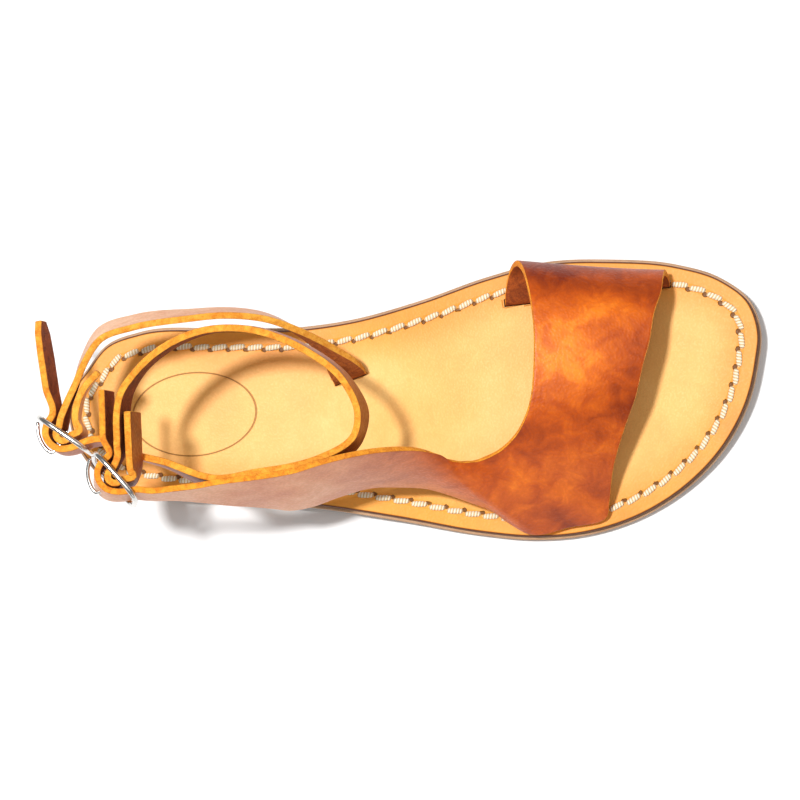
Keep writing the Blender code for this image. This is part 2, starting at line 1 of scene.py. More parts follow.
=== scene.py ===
"""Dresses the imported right-foot leather sandal: fine leather surfaces, thread, wire and looks.
+X runs to the toe, +Y to the big-toe side, +Z up, in metres; the origin is under the heel."""

import math

import bmesh
import bpy
import numpy as np
from mathutils import Matrix, Vector


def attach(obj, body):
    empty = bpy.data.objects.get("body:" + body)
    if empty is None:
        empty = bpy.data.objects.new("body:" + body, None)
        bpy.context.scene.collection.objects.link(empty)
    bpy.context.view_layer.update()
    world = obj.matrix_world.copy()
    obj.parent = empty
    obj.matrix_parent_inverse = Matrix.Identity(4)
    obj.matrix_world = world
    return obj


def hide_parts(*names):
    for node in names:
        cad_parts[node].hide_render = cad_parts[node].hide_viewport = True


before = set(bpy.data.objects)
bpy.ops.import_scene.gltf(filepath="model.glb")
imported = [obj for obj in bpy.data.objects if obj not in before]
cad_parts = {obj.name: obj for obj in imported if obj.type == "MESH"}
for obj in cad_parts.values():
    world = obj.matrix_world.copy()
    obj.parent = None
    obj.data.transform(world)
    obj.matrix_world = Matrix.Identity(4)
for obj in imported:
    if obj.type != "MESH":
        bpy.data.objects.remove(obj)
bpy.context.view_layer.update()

# Sole, in metres.
SOLE_LENGTH = 0.249
BALL_WIDTH = 0.098
HEEL_SEAT = 0.0306
OUTSOLE_THICKNESS = 0.0040
INSOLE_THICKNESS = 0.0030
HEEL_HEIGHT = 0.0050
TOE_SPRING = 0.0050
SOLE_MARGIN = 0.0012

# Upper: heights above the insole.
INSTEP_RISE = 0.0315
PANEL_RISE = 0.0660
UPPER_WALL = 0.0022
CROWN = 0.0012

# Straps and buckles. The heel strap's middle stands at HEEL_STRAP_RISE above the insole, and the
# ankle strap's lies one strap width and BAND_GAP higher, so that neither touches the other.
STRAP_WIDTH = 0.0120
STRAP_THICKNESS = 0.0024
HEEL_STRAP_RISE = 0.0450
BAND_GAP = 0.0030
REAR_TAIL = 0.0225
ANKLE_TAIL = 0.0330
BUCKLE_LENGTH = 0.0225
OVAL_POWER = 4.0
BUCKLE_MARGIN = 0.0016
WIRE = 0.0018
PRONG = 0.0013

CLEARANCE = 0.0003

# What follows from the sizes above.
ANKLE_STRAP_RISE = HEEL_STRAP_RISE + STRAP_WIDTH + BAND_GAP
BUCKLE_HEIGHT = STRAP_WIDTH + 2 * (WIRE + BUCKLE_MARGIN)
FOLD_RADIUS = WIRE / 2 + CLEARANCE + STRAP_THICKNESS / 2
OVER_RADIUS = FOLD_RADIUS + CLEARANCE + STRAP_THICKNESS
SLOT_DEPTH = 0.6 * INSOLE_THICKNESS
STRAP_TOP = OVER_RADIUS + STRAP_THICKNESS / 2
PRONG_GAP = CLEARANCE + PRONG / 2

# The edge of the insole, from the back of the heel along the big-toe side and back.
# Columns: along, share of SOLE_LENGTH; across, share of BALL_WIDTH.
INSOLE_EDGE = (
    (0.000, 0.000),
    (0.007, 0.085),
    (0.032, 0.166),
    (0.060, 0.242),
    (0.111, 0.281),
    (0.230, 0.270),
    (0.351, 0.252),
    (0.418, 0.265),
    (0.518, 0.317),
    (0.620, 0.388),
    (0.705, 0.426),
    (0.798, 0.417),
    (0.892, 0.378),
    (0.952, 0.315),
    (0.988, 0.230),
    (1.000, 0.108),
    (0.994, 0.015),
    (0.977, -0.127),
    (0.933, -0.304),
    (0.880, -0.424),
    (0.814, -0.514),
    (0.731, -0.565),
    (0.662, -0.567),
    (0.584, -0.536),
    (0.471, -0.464),
    (0.351, -0.396),
    (0.227, -0.350),
    (0.118, -0.312),
    (0.059, -0.262),
    (0.024, -0.178),
    (0.005, -0.085),
)

# Where the sole changes height, as shares of SOLE_LENGTH from the back of the heel.
BREAST = 0.315
WAIST_START = 0.330
WAIST_END = 0.610
SPRING_START = 0.780

# The toe band, from its slot on the big-toe side over the foot to the fold on the little-toe side.
# Columns: front and back edge, each along, across and rise, a share of INSTEP_RISE.
BAND_SECTIONS = (
    (0.881, 0.317, 0.000, 0.643, 0.295, 0.000),
    (0.881, 0.318, 0.035, 0.643, 0.296, 0.035),
    (0.880, 0.332, 0.110, 0.645, 0.332, 0.100),
    (0.875, 0.350, 0.270, 0.653, 0.398, 0.220),
    (0.870, 0.325, 0.450, 0.664, 0.421, 0.470),
    (0.865, 0.272, 0.580, 0.673, 0.392, 0.680),
    (0.853, 0.201, 0.690, 0.680, 0.309, 0.850),
    (0.843, 0.101, 0.745, 0.684, 0.176, 0.970),
    (0.830, 0.008, 0.755, 0.680, 0.031, 1.000),
    (0.818, -0.090, 0.710, 0.672, -0.084, 0.970),
    (0.799, -0.200, 0.610, 0.656, -0.172, 0.910),
    (0.780, -0.333, 0.430, 0.635, -0.230, 0.860),
    (0.771, -0.452, 0.190, 0.614, -0.262, 0.840),
    (0.765, -0.511, 0.085, 0.596, -0.278, 0.840),
    (0.713, -0.535, 0.085, 0.580, -0.282, 0.870),
    (0.660, -0.552, 0.100, 0.565, -0.279, 0.920),
)

# The side panel, from the fold back to the ankle, where it is as narrow as a strap.
# Columns: lower and upper edge, each along, across and rise, a share of PANEL_RISE.
PANEL_SECTIONS = (
    (0.631, -0.507, 0.078, 0.550, -0.268, 0.475),
    (0.609, -0.460, 0.118, 0.537, -0.248, 0.535),
    (0.575, -0.418, 0.160, 0.521, -0.234, 0.595),
    (0.521, -0.362, 0.220, 0.497, -0.226, 0.675),
    (0.480, -0.347, 0.262, 0.463, -0.228, 0.770),
    (0.439, -0.343, 0.298, 0.427, -0.240, 0.860),
    (0.393, -0.368, 0.325, 0.388, -0.260, 0.920),
    (0.355, -0.396, 0.345, 0.355, -0.281, 0.955),
    (0.329, -0.403, 0.375, 0.330, -0.289, 0.970),
    (0.309, -0.394, 0.430, 0.305, -0.294, 0.982),
    (0.284, -0.383, 0.530, 0.283, -0.297, 0.992),
    (0.254, -0.373, 0.650, 0.255, -0.301, 0.998),
    (0.224, -0.358, 0.755, 0.226, -0.309, 1.000),
    (0.191, -0.345, 0.800, 0.194, -0.313, 1.000),
)

# The fold under the band's end: from the fold's line inwards and down through its slot.
# Columns: front and back, each along and across; layers of wall above the insole, a share that is
# 1 where the tab lies on the insole and 0 at the slot's mouth.
FOLD_SECTIONS = (
    (0.764, -0.506, 0.660, -0.545, 1.25),
    (0.762, -0.485, 0.659, -0.520, 1.00),
    (0.757, -0.437, 0.656, -0.470, 1.00),
    (0.754, -0.405, 0.654, -0.439, 0.70),
    (0.753, -0.398, 0.654, -0.431, 0.00),
)

# Columns of the strap tables: along, across; shares of ANKLE_STRAP_RISE and of HEEL_STRAP_RISE,
# added up; the direction from the lower to the upper edge, as toe, big-toe side and up.
ANKLE_FOLD_APPROACH = (
    (0.125, -0.145, 1.00, 0.00, -0.08, 0.00, 1.0),
    (0.128, -0.040, 1.00, 0.00, -0.10, 0.00, 1.0),
    (0.133, 0.015, 1.00, 0.00, -0.08, 0.00, 1.0),
    (0.155, 0.095, 1.00, 0.00, 0.00, -0.04, 1.0),
    (0.196, 0.172, 1.00, 0.00, 0.00, -0.05, 1.0),
    (0.247, 0.216, 1.00, 0.00, 0.00, -0.07, 1.0),
    (0.300, 0.214, 0.99, 0.00, 0.00, -0.07, 1.0),
    (0.378, 0.134, 0.94, 0.00, -0.05, -0.06, 1.0),
    (0.431, 0.010, 0.88, 0.00, -0.12, 0.00, 1.0),
    (0.446, -0.100, 0.83, 0.00, -0.15, 0.04, 1.0),
    (0.437, -0.178, 0.80, 0.00, -0.06, 0.14, 1.0),
)
# Where the ankle strap lies inside the side panel: a row of PANEL_SECTIONS, and a share of its
# height for the strap's middle.
ANKLE_INSIDE_PANEL = ((6, 0.78), (7, 0.79), (9, 0.77), (11, 0.58))

ANKLE_AFTER_PANEL = (
    (0.175, -0.222, 0.35, 0.67, 0.05, 0.10, 1.0),
    (0.125, -0.178, 0.00, 1.00, 0.00, 0.05, 1.0),
)
HEEL_STRAP_RUN = (
    (0.412, 0.065, 0.00, 0.00, 0.96, 0.28, 0.0),
    (0.412, 0.072, 0.00, 0.10, 0.94, 0.28, 0.12),
    (0.392, 0.148, 0.00, 0.28, 0.48, 0.12, 0.86),
    (0.352, 0.228, 0.00, 0.56, 0.22, -0.10, 0.97),
    (0.314, 0.274, 0.00, 0.73, 0.14, -0.20, 0.97),
    (0.264, 0.294, 0.00, 0.86, 0.06, -0.25, 0.97),
    (0.214, 0.292, 0.00, 0.93, 0.00, -0.30, 0.95),
    (0.140, 0.280, 0.00, 0.99, 0.06, -0.40, 0.92),
    (0.092, 0.246, 0.00, 1.00, 0.22, -0.35, 0.92),
    (0.068, 0.163, 0.00, 1.00, 0.28, -0.12, 0.95),
    (0.053, 0.076, 0.00, 1.00, 0.20, -0.05, 0.98),
    (0.040, 0.008, 0.00, 1.00, 0.15, 0.00, 0.99),
)
ANKLE_TAB = (
    (0.140, -0.235, 1.00, 0.00, -0.06, 0.00, 1.0),
    (0.141, -0.160, 1.00, 0.00, -0.10, 0.00, 1.0),
    (0.142, -0.045, 1.00, 0.00, -0.10, 0.00, 1.0),
)
HEEL_TAB = (
    (0.052, -0.052, 0.00, 1.00, 0.12, 0.00, 1.0),
    (0.055, 0.003, 0.00, 1.00, 0.14, 0.00, 1.0),
    (0.066, 0.064, 0.00, 1.00, 0.18, -0.04, 1.0),
    (0.085, 0.113, 0.00, 1.00, 0.20, -0.10, 1.0),
)

# How a strap passes its buckle: inside the near rail, over the bar, inside the far rail.
# Columns: run, share of half of BUCKLE_LENGTH; out, share of OVER_RADIUS.
OVER_PATH = (
    (-1.00, -1.08),
    (-0.70, -0.42),
    (-0.52, 0.25),
    (-0.36, 0.66),
    (-0.20, 0.92),
    (0.00, 1.04),
    (0.25, 0.95),
    (0.45, 0.64),
    (0.57, 0.10),
    (0.60, -0.62),
)

# How the other strap is folded round the bar: angles from the far side, in degrees, and where it
# meets and leaves that fold, run and out as shares of FOLD_RADIUS.
FOLD_ANGLES = (-12, 22, 56, 90, 124, 158, 192)
FOLD_START = (1.5, -1.5)
FOLD_END = (-1.7, -1.7)

# The prong, from the bar out through both straps and on to the far rail.
# Columns: run, share of half of BUCKLE_LENGTH; out, in metres from the bar's middle.
PRONG_START = WIRE / 2 + CLEARANCE
PRONG_PATH = (
    (0.00, PRONG_START),
    (0.00, STRAP_TOP + PRONG_GAP - 0.9 * PRONG),
    (0.06, STRAP_TOP + PRONG_GAP + 0.2 * PRONG),
    (0.16, STRAP_TOP + PRONG_GAP + 0.3 * PRONG),
    (0.40, STRAP_TOP + PRONG_GAP - 0.05 * OVER_RADIUS),
    (0.72, STRAP_TOP + PRONG_GAP - 0.48 * OVER_RADIUS),
    (0.93, WIRE / 2 + PRONG_GAP + 0.1 * PRONG),
)

# Columns: along, across; which strap's height; turn from the toe and lean inwards, in degrees.
ANKLE_BUCKLE = (0.112, -0.268, ANKLE_STRAP_RISE, 128, 18)
HEEL_BUCKLE = (0.035, -0.098, HEEL_STRAP_RISE, 142, 6)

# The tails run straight on from their buckles. Ways are toe, big-toe side and up.
REAR_TAIL_WAY = (0.03, 1.0, 0.0)
ANKLE_TAIL_WAY = (-0.09, 1.0, 0.0)
TAIL_ACROSS = (-0.08, 0.0, 1.0)
TAIL_START = 0.3
# The ankle strap's tip. Lengths from the end, and shares of the full width there.
TIP_LENGTHS = (0.0, 0.004, 0.012)
TIP_WIDTHS = (0.45, 0.85, 1.0)

# How finely the scene's surfaces are made, and how their edges are rounded.
EDGE_POINTS = 1400
SOLE_STATIONS = 230
SOLE_COLUMNS = 96
EDGE_BENDS = 5
INSOLE_ROUND = 0.0009
OUTSOLE_ROUND = 0.0007
LOW_ROUND = 0.0004
BREAST_RUN = 0.0008
SHEET_STEP = 0.0012
SHEET_COLUMNS = 54
STRAP_STEP = 0.0009
STRAP_COLUMNS = 15
RIM_ROUND = 0.00045
RIM_POWER = 3.2
RIM_POINTS = 5
# Straps are not cut quite straight: a share of their width, and the lengths of two waves in it.
STRAP_WAVE = 0.012
WAVE_LENGTHS = (0.0071, 0.0043)
TURN_WEIGHT = 0.01
FLAT_ROWS = 4
CROWN_START = 0.15
SHARP_ANGLE = 50
WELD = 2e-6
EDGE_CHUNK = 4000
WIRE_SIDES = 16
FRAME_POINTS = 120
CAP_RINGS = 6
BAR_POINTS = 8
BAR_RADIUS = 0.48 * WIRE
PIN_STEP = 0.0004
EYE_RADIUS = PRONG / 3
EYE_POINTS = 40

# The row of thread round the insole. A stitch is as long as STITCH_SHARE of its place in the row,
# stands STITCH_RAISE of its height above the leather and dips by STITCH_DIP of it at its ends.
STITCH_INSET = 0.0061
STITCH_COUNT = 84
STITCH_WIDTH = 0.0021
STITCH_HEIGHT = 0.0011
STITCH_SLANT = 9.0
STITCH_SHARE = 0.98
STITCH_FULLNESS = 3.4
STITCH_BULGE = 0.72
STITCH_RAISE = 0.30
STITCH_DIP = 0.62
STITCH_DIP_POWER = 5
STITCH_RINGS = 15
STITCH_SIDES = 12
PLY_LENGTH = 0.0011
# Its awl holes, along and across the row, and the channel that it lies in.
HOLE_INSET = 0.0009
HOLE_RADII = (0.0011, 0.0009)
CHANNEL_HALF = 0.0016
# Where the folded tab lies on the row and no thread shows: along, as shares, on the little-toe side.
TAB_COVERS = (0.640, 0.775)

# The insole's stamped oval, its deeper rim and its dyed edge; the line over the heel lift.
OVAL_PLACE = (0.0150, -0.0030)
OVAL_RADII = (0.0226, 0.0150)
OVAL_LINE = 0.00035
RIM_TONE = (0.004, 0.020)
DYED_EDGE = (0.0009, 0.0004)
LIFT_LINE = (0.00035, 0.00012)

# Where the upper's colour fades into painted reflection, paler and pinker on the panel and palest at the
# heel, as lengths along it from its slot on the big-toe side.
PANEL_REFLECTION_FADE = (0.125, 0.190)
HEEL_REFLECTION_FADE = (0.190, 0.265)
# Flesh side dark and light, then cut edge dark and light, in screen colours from 0 to 255.
UPPER_TONES = ((112, 44, 6), (178, 84, 22), (196, 96, 8), (255, 172, 44))
ANKLE_TONES = ((92, 34, 4), (170, 82, 24), (206, 112, 16), (255, 180, 60))
HEEL_TONES = ((120, 50, 8), (196, 108, 40), (214, 126, 24), (255, 190, 72))

# The camera looks almost straight down and is rolled a little, as in the photograph.
CAMERA_AT = (0.1565, -0.0480, 0.8090)
CAMERA_AIM = (0.0894, -0.0032, 0.0090)
CAMERA_ROLL = 4.0
CAMERA_LENS = 100.6
CAMERA_SENSOR = 36.0
CAMERA_CLIP = (0.01, 20.0)

# Lights: name, place, width of the disk and power. All face LIGHT_AIM.
LIGHTS = (
    ("key", (-0.16, 0.16, 1.20), 0.11, 15.0),
    ("wide", (0.30, 0.10, 1.60), 1.60, 6.0),
    ("low_front", (0.40, -1.20, 0.50), 0.9, 2.0),
)
LIGHT_AIM = (0.09, 0.0, 0.02)
SKY_STRENGTH = 0.22
FLOOR_SIZE = 6.0
FLOOR_TONE = 0.90


def world_x(along):
    return along * SOLE_LENGTH - HEEL_SEAT


def knots_of(rows):
    gaps = np.linalg.norm(np.diff(rows, axis=0), axis=1)
    return np.concatenate(([0.0], np.cumsum(gaps)))


def span_by_span(rows, step):
    """Places along the rows about a step apart, with one at every row."""
    knots = knots_of(rows)
    spans = [
        np.linspace(start, end, max(1, round((end - start) / step)), endpoint=False)
        for start, end in zip(knots[:-1], knots[1:])
    ]
    return np.concatenate(spans + [knots[-1:]])


def smooth(rows, where):
    """Points on a cubic curve through the rows, its slopes the means of its chords' slopes."""
    knots = knots_of(rows)
    gaps = np.diff(knots)[:, None]
    slopes = np.diff(rows, axis=0) / gaps
    inner = (slopes[:-1] * gaps[1:] + slopes[1:] * gaps[:-1]) / (gaps[:-1] + gaps[1:])
    tangents = np.vstack((slopes[:1], inner, slopes[-1:]))
    span = np.clip(np.searchsorted(knots, where, side="right") - 1, 0, len(gaps) - 1)
    gap = gaps[span]
    u = (where - knots[span])[:, None] / gap
    start = (1 + 2 * u) * (1 - u) ** 2 * rows[span] + u * (1 - u) ** 2 * gap * tangents[span]
    end = u**2 * (3 - 2 * u) * rows[span + 1] - u**2 * (1 - u) * gap * tangents[span + 1]
    return start + end


def unit(vector):
    vector = np.asarray(vector, float)
    return vector / np.linalg.norm(vector, axis=-1, keepdims=True)


def rounded(values, power):
    """Each value raised to the power, with its sign kept: a superellipse's cosines and sines."""
    return np.sign(values) * np.abs(values) ** power


def sole_lift(along):
    """Height of the sole's waist line: the heel's, eased down to the ball, and the toe spring."""
    heel = np.clip((WAIST_END - along) / (WAIST_END - WAIST_START), 0.0, 1.0)
    toe = np.clip((along - SPRING_START) / (1.0 - SPRING_START), 0.0, None)
    return HEEL_HEIGHT * heel * heel * (3 - 2 * heel) + TOE_SPRING * toe * toe


def insole_bottom(along):
    return sole_lift(along) + OUTSOLE_THICKNESS + CLEARANCE


def footbed(along):
    return insole_bottom(along) + INSOLE_THICKNESS


def outsole_bottom(along):
    return np.where(along < BREAST - BREAST_RUN / 2, 0.0, sole_lift(along))


def outsole_top(along):
    return sole_lift(along) + OUTSOLE_THICKNESS


def sole_edge(margin):
    """The insole's edge as a closed line moved outwards along its normals, with its directions."""
    closed = np.array(INSOLE_EDGE + INSOLE_EDGE[:1]) * (SOLE_LENGTH, BALL_WIDTH)
    padded = np.vstack((closed[-3:-1], closed, closed[1:3]))
    knots = knots_of(padded)
    line = smooth(padded, np.linspace(knots[2], knots[-3], EDGE_POINTS, endpoint=False))
    way = unit(np.roll(line, -1, axis=0) - np.roll(line, 1, axis=0))
    outwards = np.column_stack((-way[:, 1], way[:, 0]))
    return line + margin * outwards, way


def sole_sides(margin):
    """Stations from heel to toe, close together at both ends, with the edge on each side."""
    edge = sole_edge(margin)[0]
    edge = np.roll(edge, -int(np.argmin(edge[:, 0])), axis=0)
    tip = int(np.argmax(edge[:, 0]))
    medial = edge[: tip + 1]
    lateral = np.vstack((edge[tip:], edge[:1]))[::-1]
    turn = np.linspace(0.0, math.pi, SOLE_STATIONS)
    stations = edge[0, 0] + (edge[tip, 0] - edge[0, 0]) * (1 - np.cos(turn)) / 2
    levels = (BREAST - BREAST_RUN, BREAST, WAIST_START, WAIST_END, SPRING_START)
    stations = np.sort(np.concatenate((stations, SOLE_LENGTH * np.array(levels))))
    medial = np.interp(stations, medial[:, 0], medial[:, 1])
    lateral = np.interp(stations, lateral[:, 0], lateral[:, 1])
    medial[[0, -1]] = lateral[[0, -1]]
    return stations, medial, lateral


def wrapped_quads(rows, columns):
    """Quads between neighbouring loops of a grid whose columns close on themselves."""
    i, j = np.mgrid[0 : rows - 1, 0:columns]
    k = (j + 1) % columns
    corners = (i * columns + j, i * columns + k, (i + 1) * columns + k, (i + 1) * columns + j)
    return np.stack(corners, axis=-1).reshape(-1, 4)


def new_piece(name, points, quads, **masks):
    """A closed mesh with doubles merged, faces outwards and each mask as a named attribute."""
    mesh = bpy.data.meshes.new(name)
    mesh.from_pydata(points.reshape(-1, 3).tolist(), [], quads.tolist())
    for mask, values in masks.items():
        values = np.asarray(values, np.float32)
        kind, key = ("FLOAT_VECTOR", "vector") if values.ndim > 1 else ("FLOAT", "value")
        mesh.attributes.new(mask, kind, "POINT").data.foreach_set(key, values.ravel())
    shape = bmesh.new()
    shape.from_mesh(mesh)
    bmesh.ops.remove_doubles(shape, verts=shape.verts, dist=WELD)
    bmesh.ops.recalc_face_normals(shape, faces=shape.faces)
    shape.to_mesh(mesh)
    shape.free()
    mesh.shade_smooth()
    piece = bpy.data.objects.new(name, mesh)
    bpy.context.scene.collection.objects.link(piece)
    return piece


def sole_form(margin, low, high, top_round, low_round):
    """Closed loft along the sole. Each section runs down the big-toe edge, under, up the other
    edge and over; an edge is a quarter circle at its top and another at its bottom."""
    bend = np.linspace(0.0, math.pi / 2, EDGE_BENDS)
    rings = [(top_round * (1 - np.sin(b)), high, -top_round * (1 - np.cos(b))) for b in bend]
    rings += [(low_round * (1 - np.cos(b)), low, low_round * (1 - np.sin(b))) for b in bend]
    down, up = [], []
    for inset, level, lift in rings:
        stations, medial, lateral = sole_sides(margin - inset)
        height = level(stations / SOLE_LENGTH) + lift
        down.append(np.column_stack((stations - HEEL_SEAT, medial, height)))
        up.append(np.column_stack((stations - HEEL_SEAT, lateral, height)))
    share = (1 - np.cos(np.linspace(0.0, math.pi, SOLE_COLUMNS)[1:-1])) / 2
    under = [down[-1] + (up[-1] - down[-1]) * s for s in share]
    over = [up[0] + (down[0] - up[0]) * s for s in share]
    return np.stack(down + under + up[::-1] + over, axis=1)


def stitch_row():
    """The closed line that the stitches follow, its directions, and the lengths along it."""
    line, way = sole_edge(-STITCH_INSET)
    return line, way, knots_of(np.vstack((line, line[:1])))


def edge_marks(points):
    """Distance of each point from the insole's edge, and a cosine with one wave for each stitch."""
    edge, way = sole_edge(0.0)
    lengths = stitch_row()[2]
    flat = points.reshape(-1, 3)[:, :2] + (HEEL_SEAT, 0.0)
    margin, beat = np.empty(len(flat)), np.empty(len(flat))
    for part in np.array_split(np.arange(len(flat)), len(flat) // EDGE_CHUNK + 1):
        gap = flat[part, None] - edge[None]
        near = np.argmin((gap**2).sum(axis=2), axis=1)
        offset = flat[part] - edge[near]
        margin[part] = np.linalg.norm(offset, axis=1)
        place = lengths[near] + (offset * way[near]).sum(axis=1)
        beat[part] = np.cos(2 * math.pi * STITCH_COUNT * place / lengths[-1])
    return margin, beat


def on_footbed(along, across, rise, base):
    """World points at heights above the insole that are shares of base."""
    return np.column_stack((world_x(along), across * BALL_WIDTH, footbed(along) + rise * base))


def edge_points(table, base):
    """World points of both edges of the sections, their rise a share of base."""
    table = np.array(table, float)
    return np.hstack([on_footbed(*table[:, first : first + 3].T, base) for first in (0, 3)])


def strap_points(table):
    """World points of a strap's middle line, and the unit direction across it, for each row."""
    table = np.array(table, float)
    along, across, ankle, heel = table[:, :4].T
    height = footbed(along) + ankle * ANKLE_STRAP_RISE + heel * HEEL_STRAP_RISE
    middle = np.column_stack((world_x(along), across * BALL_WIDTH, height))
    return np.hstack((middle, unit(table[:, 4:7])))


class BuckleSeat:
    """Where a buckle sits: its middle, the way the strap runs, outwards, and up along the bar."""

    def __init__(self, along, across, rise, turn, lean):
        height = float(footbed(along)) + rise
        self.middle = np.array((world_x(along), across * BALL_WIDTH, height))
        turn, lean = math.radians(turn), math.radians(lean)
        level = np.array((-math.sin(turn), math.cos(turn), 0.0))
        self.run = np.array((math.cos(turn), math.sin(turn), 0.0))
        self.out = level * math.cos(lean) + np.array((0, 0, math.sin(lean)))
        self.up = np.array((0, 0, math.cos(lean))) - level * math.sin(lean)

    def point(self, run, out, up=0.0):
        return self.middle + run * self.run + out * self.out + up * self.up

    def line(self, run, out, up):
        return self.middle + np.outer(run, self.run) + np.outer(out, self.out) + np.outer(up, self.up)

    def over_rows(self):
        rows = []
        for run, out in OVER_PATH:
            middle = self.point(run * BUCKLE_LENGTH / 2, out * OVER_RADIUS)
            rows.append(np.concatenate((middle, self.up)))
        return np.array(rows)

    def fold_rows(self):
        turns = np.radians(FOLD_ANGLES)
        path = [FOLD_START, *zip(np.cos(turns), np.sin(turns)), FOLD_END]
        middles = [self.point(run * FOLD_RADIUS, out * FOLD_RADIUS) for run, out in path]
        return np.array([np.concatenate((middle, self.up)) for middle in middles])


def straight_tail(seat, direction, length, rows):
    """Rows of a tail that leaves its buckle and runs straight for its length."""
    start = seat.over_rows()[-1]
    way = unit(direction)
    shares = np.linspace(TAIL_START, 1.0, rows)
    return np.array([np.concatenate((start[:3] + way * length * s, TAIL_ACROSS)) for s in shares])


def ribbon_grid(rows, tip=None):
    """A strap's middle surface: straight across its width, on a smooth line through its rows."""
    rows = rows * (1, 1, 1, TURN_WEIGHT, TURN_WEIGHT, TURN_WEIGHT)
    where = span_by_span(rows, STRAP_STEP)
    line = smooth(rows, where)
    middle, across = line[:, :3], unit(line[:, 3:])
    half = np.full(len(line), STRAP_WIDTH / 2 - RIM_ROUND)
    if tip is not None:
        half = half * np.interp(where[-1] - where, tip[0], tip[1])
    first, second = WAVE_LENGTHS
    wave = 1 + STRAP_WAVE * (np.sin(where / first) + np.sin(where / second + 1.0))
    sides = np.linspace(-1.0, 1.0, STRAP_COLUMNS)
    return middle[:, None] + across[:, None] * ((half * wave)[:, None] * sides)[:, :, None]


def upper_edges():
    """Front or lower edge and back or upper edge of the upper, section by section."""
    slot = edge_points(BAND_SECTIONS[:1], 0.0)
    slot[:, (2, 5)] -= SLOT_DEPTH
    band = edge_points(BAND_SECTIONS, INSTEP_RISE)
    panel = edge_points(PANEL_SECTIONS, PANEL_RISE)
    seat = BuckleSeat(*ANKLE_BUCKLE)
    over = seat.over_rows()
    tail = straight_tail(seat, REAR_TAIL_WAY, REAR_TAIL, 4)
    straps = np.vstack((over, tail))
    across = unit(straps[:, 3:]) * STRAP_WIDTH / 2
    strap = np.hstack((straps[:, :3] - across, straps[:, :3] + across))
    return np.vstack((slot, band, panel, strap)), len(slot) + len(band) + len(panel)


def upper_grid():
    """The upper's middle surface: sections straight from edge to edge, with a sine crown on them."""
    rows, crowned = upper_edges()
    weight = np.zeros(len(rows))
    weight[FLAT_ROWS:crowned] = np.sin(np.linspace(CROWN_START, math.pi, crowned - FLAT_ROWS))
    rows = np.column_stack((rows, weight * TURN_WEIGHT))
    line = smooth(rows, span_by_span(rows, SHEET_STEP))
    front, back, weight = line[:, None, :3], line[:, None, 3:6], line[:, 6] / TURN_WEIGHT
    trim = RIM_ROUND / np.linalg.norm(back - front, axis=2)[:, 0]
    share = np.linspace(trim, 1.0 - trim, SHEET_COLUMNS, axis=1)[:, :, None]
    flat = front * (1 - share) + back * share
    along = np.gradient(flat[:, SHEET_COLUMNS // 2], axis=0)
    outwards = unit(np.cross(back[:, 0] - front[:, 0], along))
    crown = CROWN * weight[:, None] * np.sin(math.pi * share[:, :, 0])
    return flat + crown[:, :, None] * outwards[:, None]


def fold_grid():
    """The tab folded under the band: from within the wall's edge, inwards, and down its slot."""
    table = np.array(FOLD_SECTIONS, float)
    front, back, layers = table[:, :2].T, table[:, 2:4].T, table[:, 4]
    resting = CLEARANCE + UPPER_WALL / 2
    rows = np.hstack([on_footbed(*edge, layers, resting) for edge in (front, back)])
    bottom = rows[-1:].copy()
    bottom[:, (2, 5)] -= SLOT_DEPTH
    rows = np.vstack((rows, bottom))
    line = smooth(rows, span_by_span(rows, SHEET_STEP))
    share = np.linspace(0.0, 1.0, SHEET_COLUMNS)[None, :, None]
    return line[:, None, :3] * (1 - share) + line[:, None, 3:6] * share


def panel_inside(section, share):
    """A strap row that lies against the panel's inside, at a share of the section's height."""
    low, high = np.split(edge_points(PANEL_SECTIONS[section : section + 1], PANEL_RISE)[0], 2)
    across = unit(high - low)
    inwards = unit(np.cross(across, (1.0, 0.0, 0.0)))
    depth = UPPER_WALL / 2 + CLEARANCE + STRAP_THICKNESS / 2
    return np.concatenate((low + (high - low) * share + inwards * depth, across))


def ankle_strap_rows():
    """The tab, the fold round the bar, the loop round the ankle, the heel buckle and the tail."""
    tab = strap_points(ANKLE_TAB)[::-1]
    fold = BuckleSeat(*ANKLE_BUCKLE).fold_rows()[::-1]
    loop = strap_points(ANKLE_FOLD_APPROACH)
    hidden = [panel_inside(section, share) for section, share in ANKLE_INSIDE_PANEL]
    back = strap_points(ANKLE_AFTER_PANEL)
    seat = BuckleSeat(*HEEL_BUCKLE)
    tail = straight_tail(seat, ANKLE_TAIL_WAY, ANKLE_TAIL, 5)
    return np.vstack((tab, fold, loop, hidden, back, seat.over_rows(), tail))


def heel_strap_rows():
    run = strap_points(HEEL_STRAP_RUN)
    bottom = run[:1].copy()
    bottom[:, 2] -= SLOT_DEPTH
    fold = BuckleSeat(*HEEL_BUCKLE).fold_rows()
    return np.vstack((bottom, run, fold, strap_points(HEEL_TAB)))


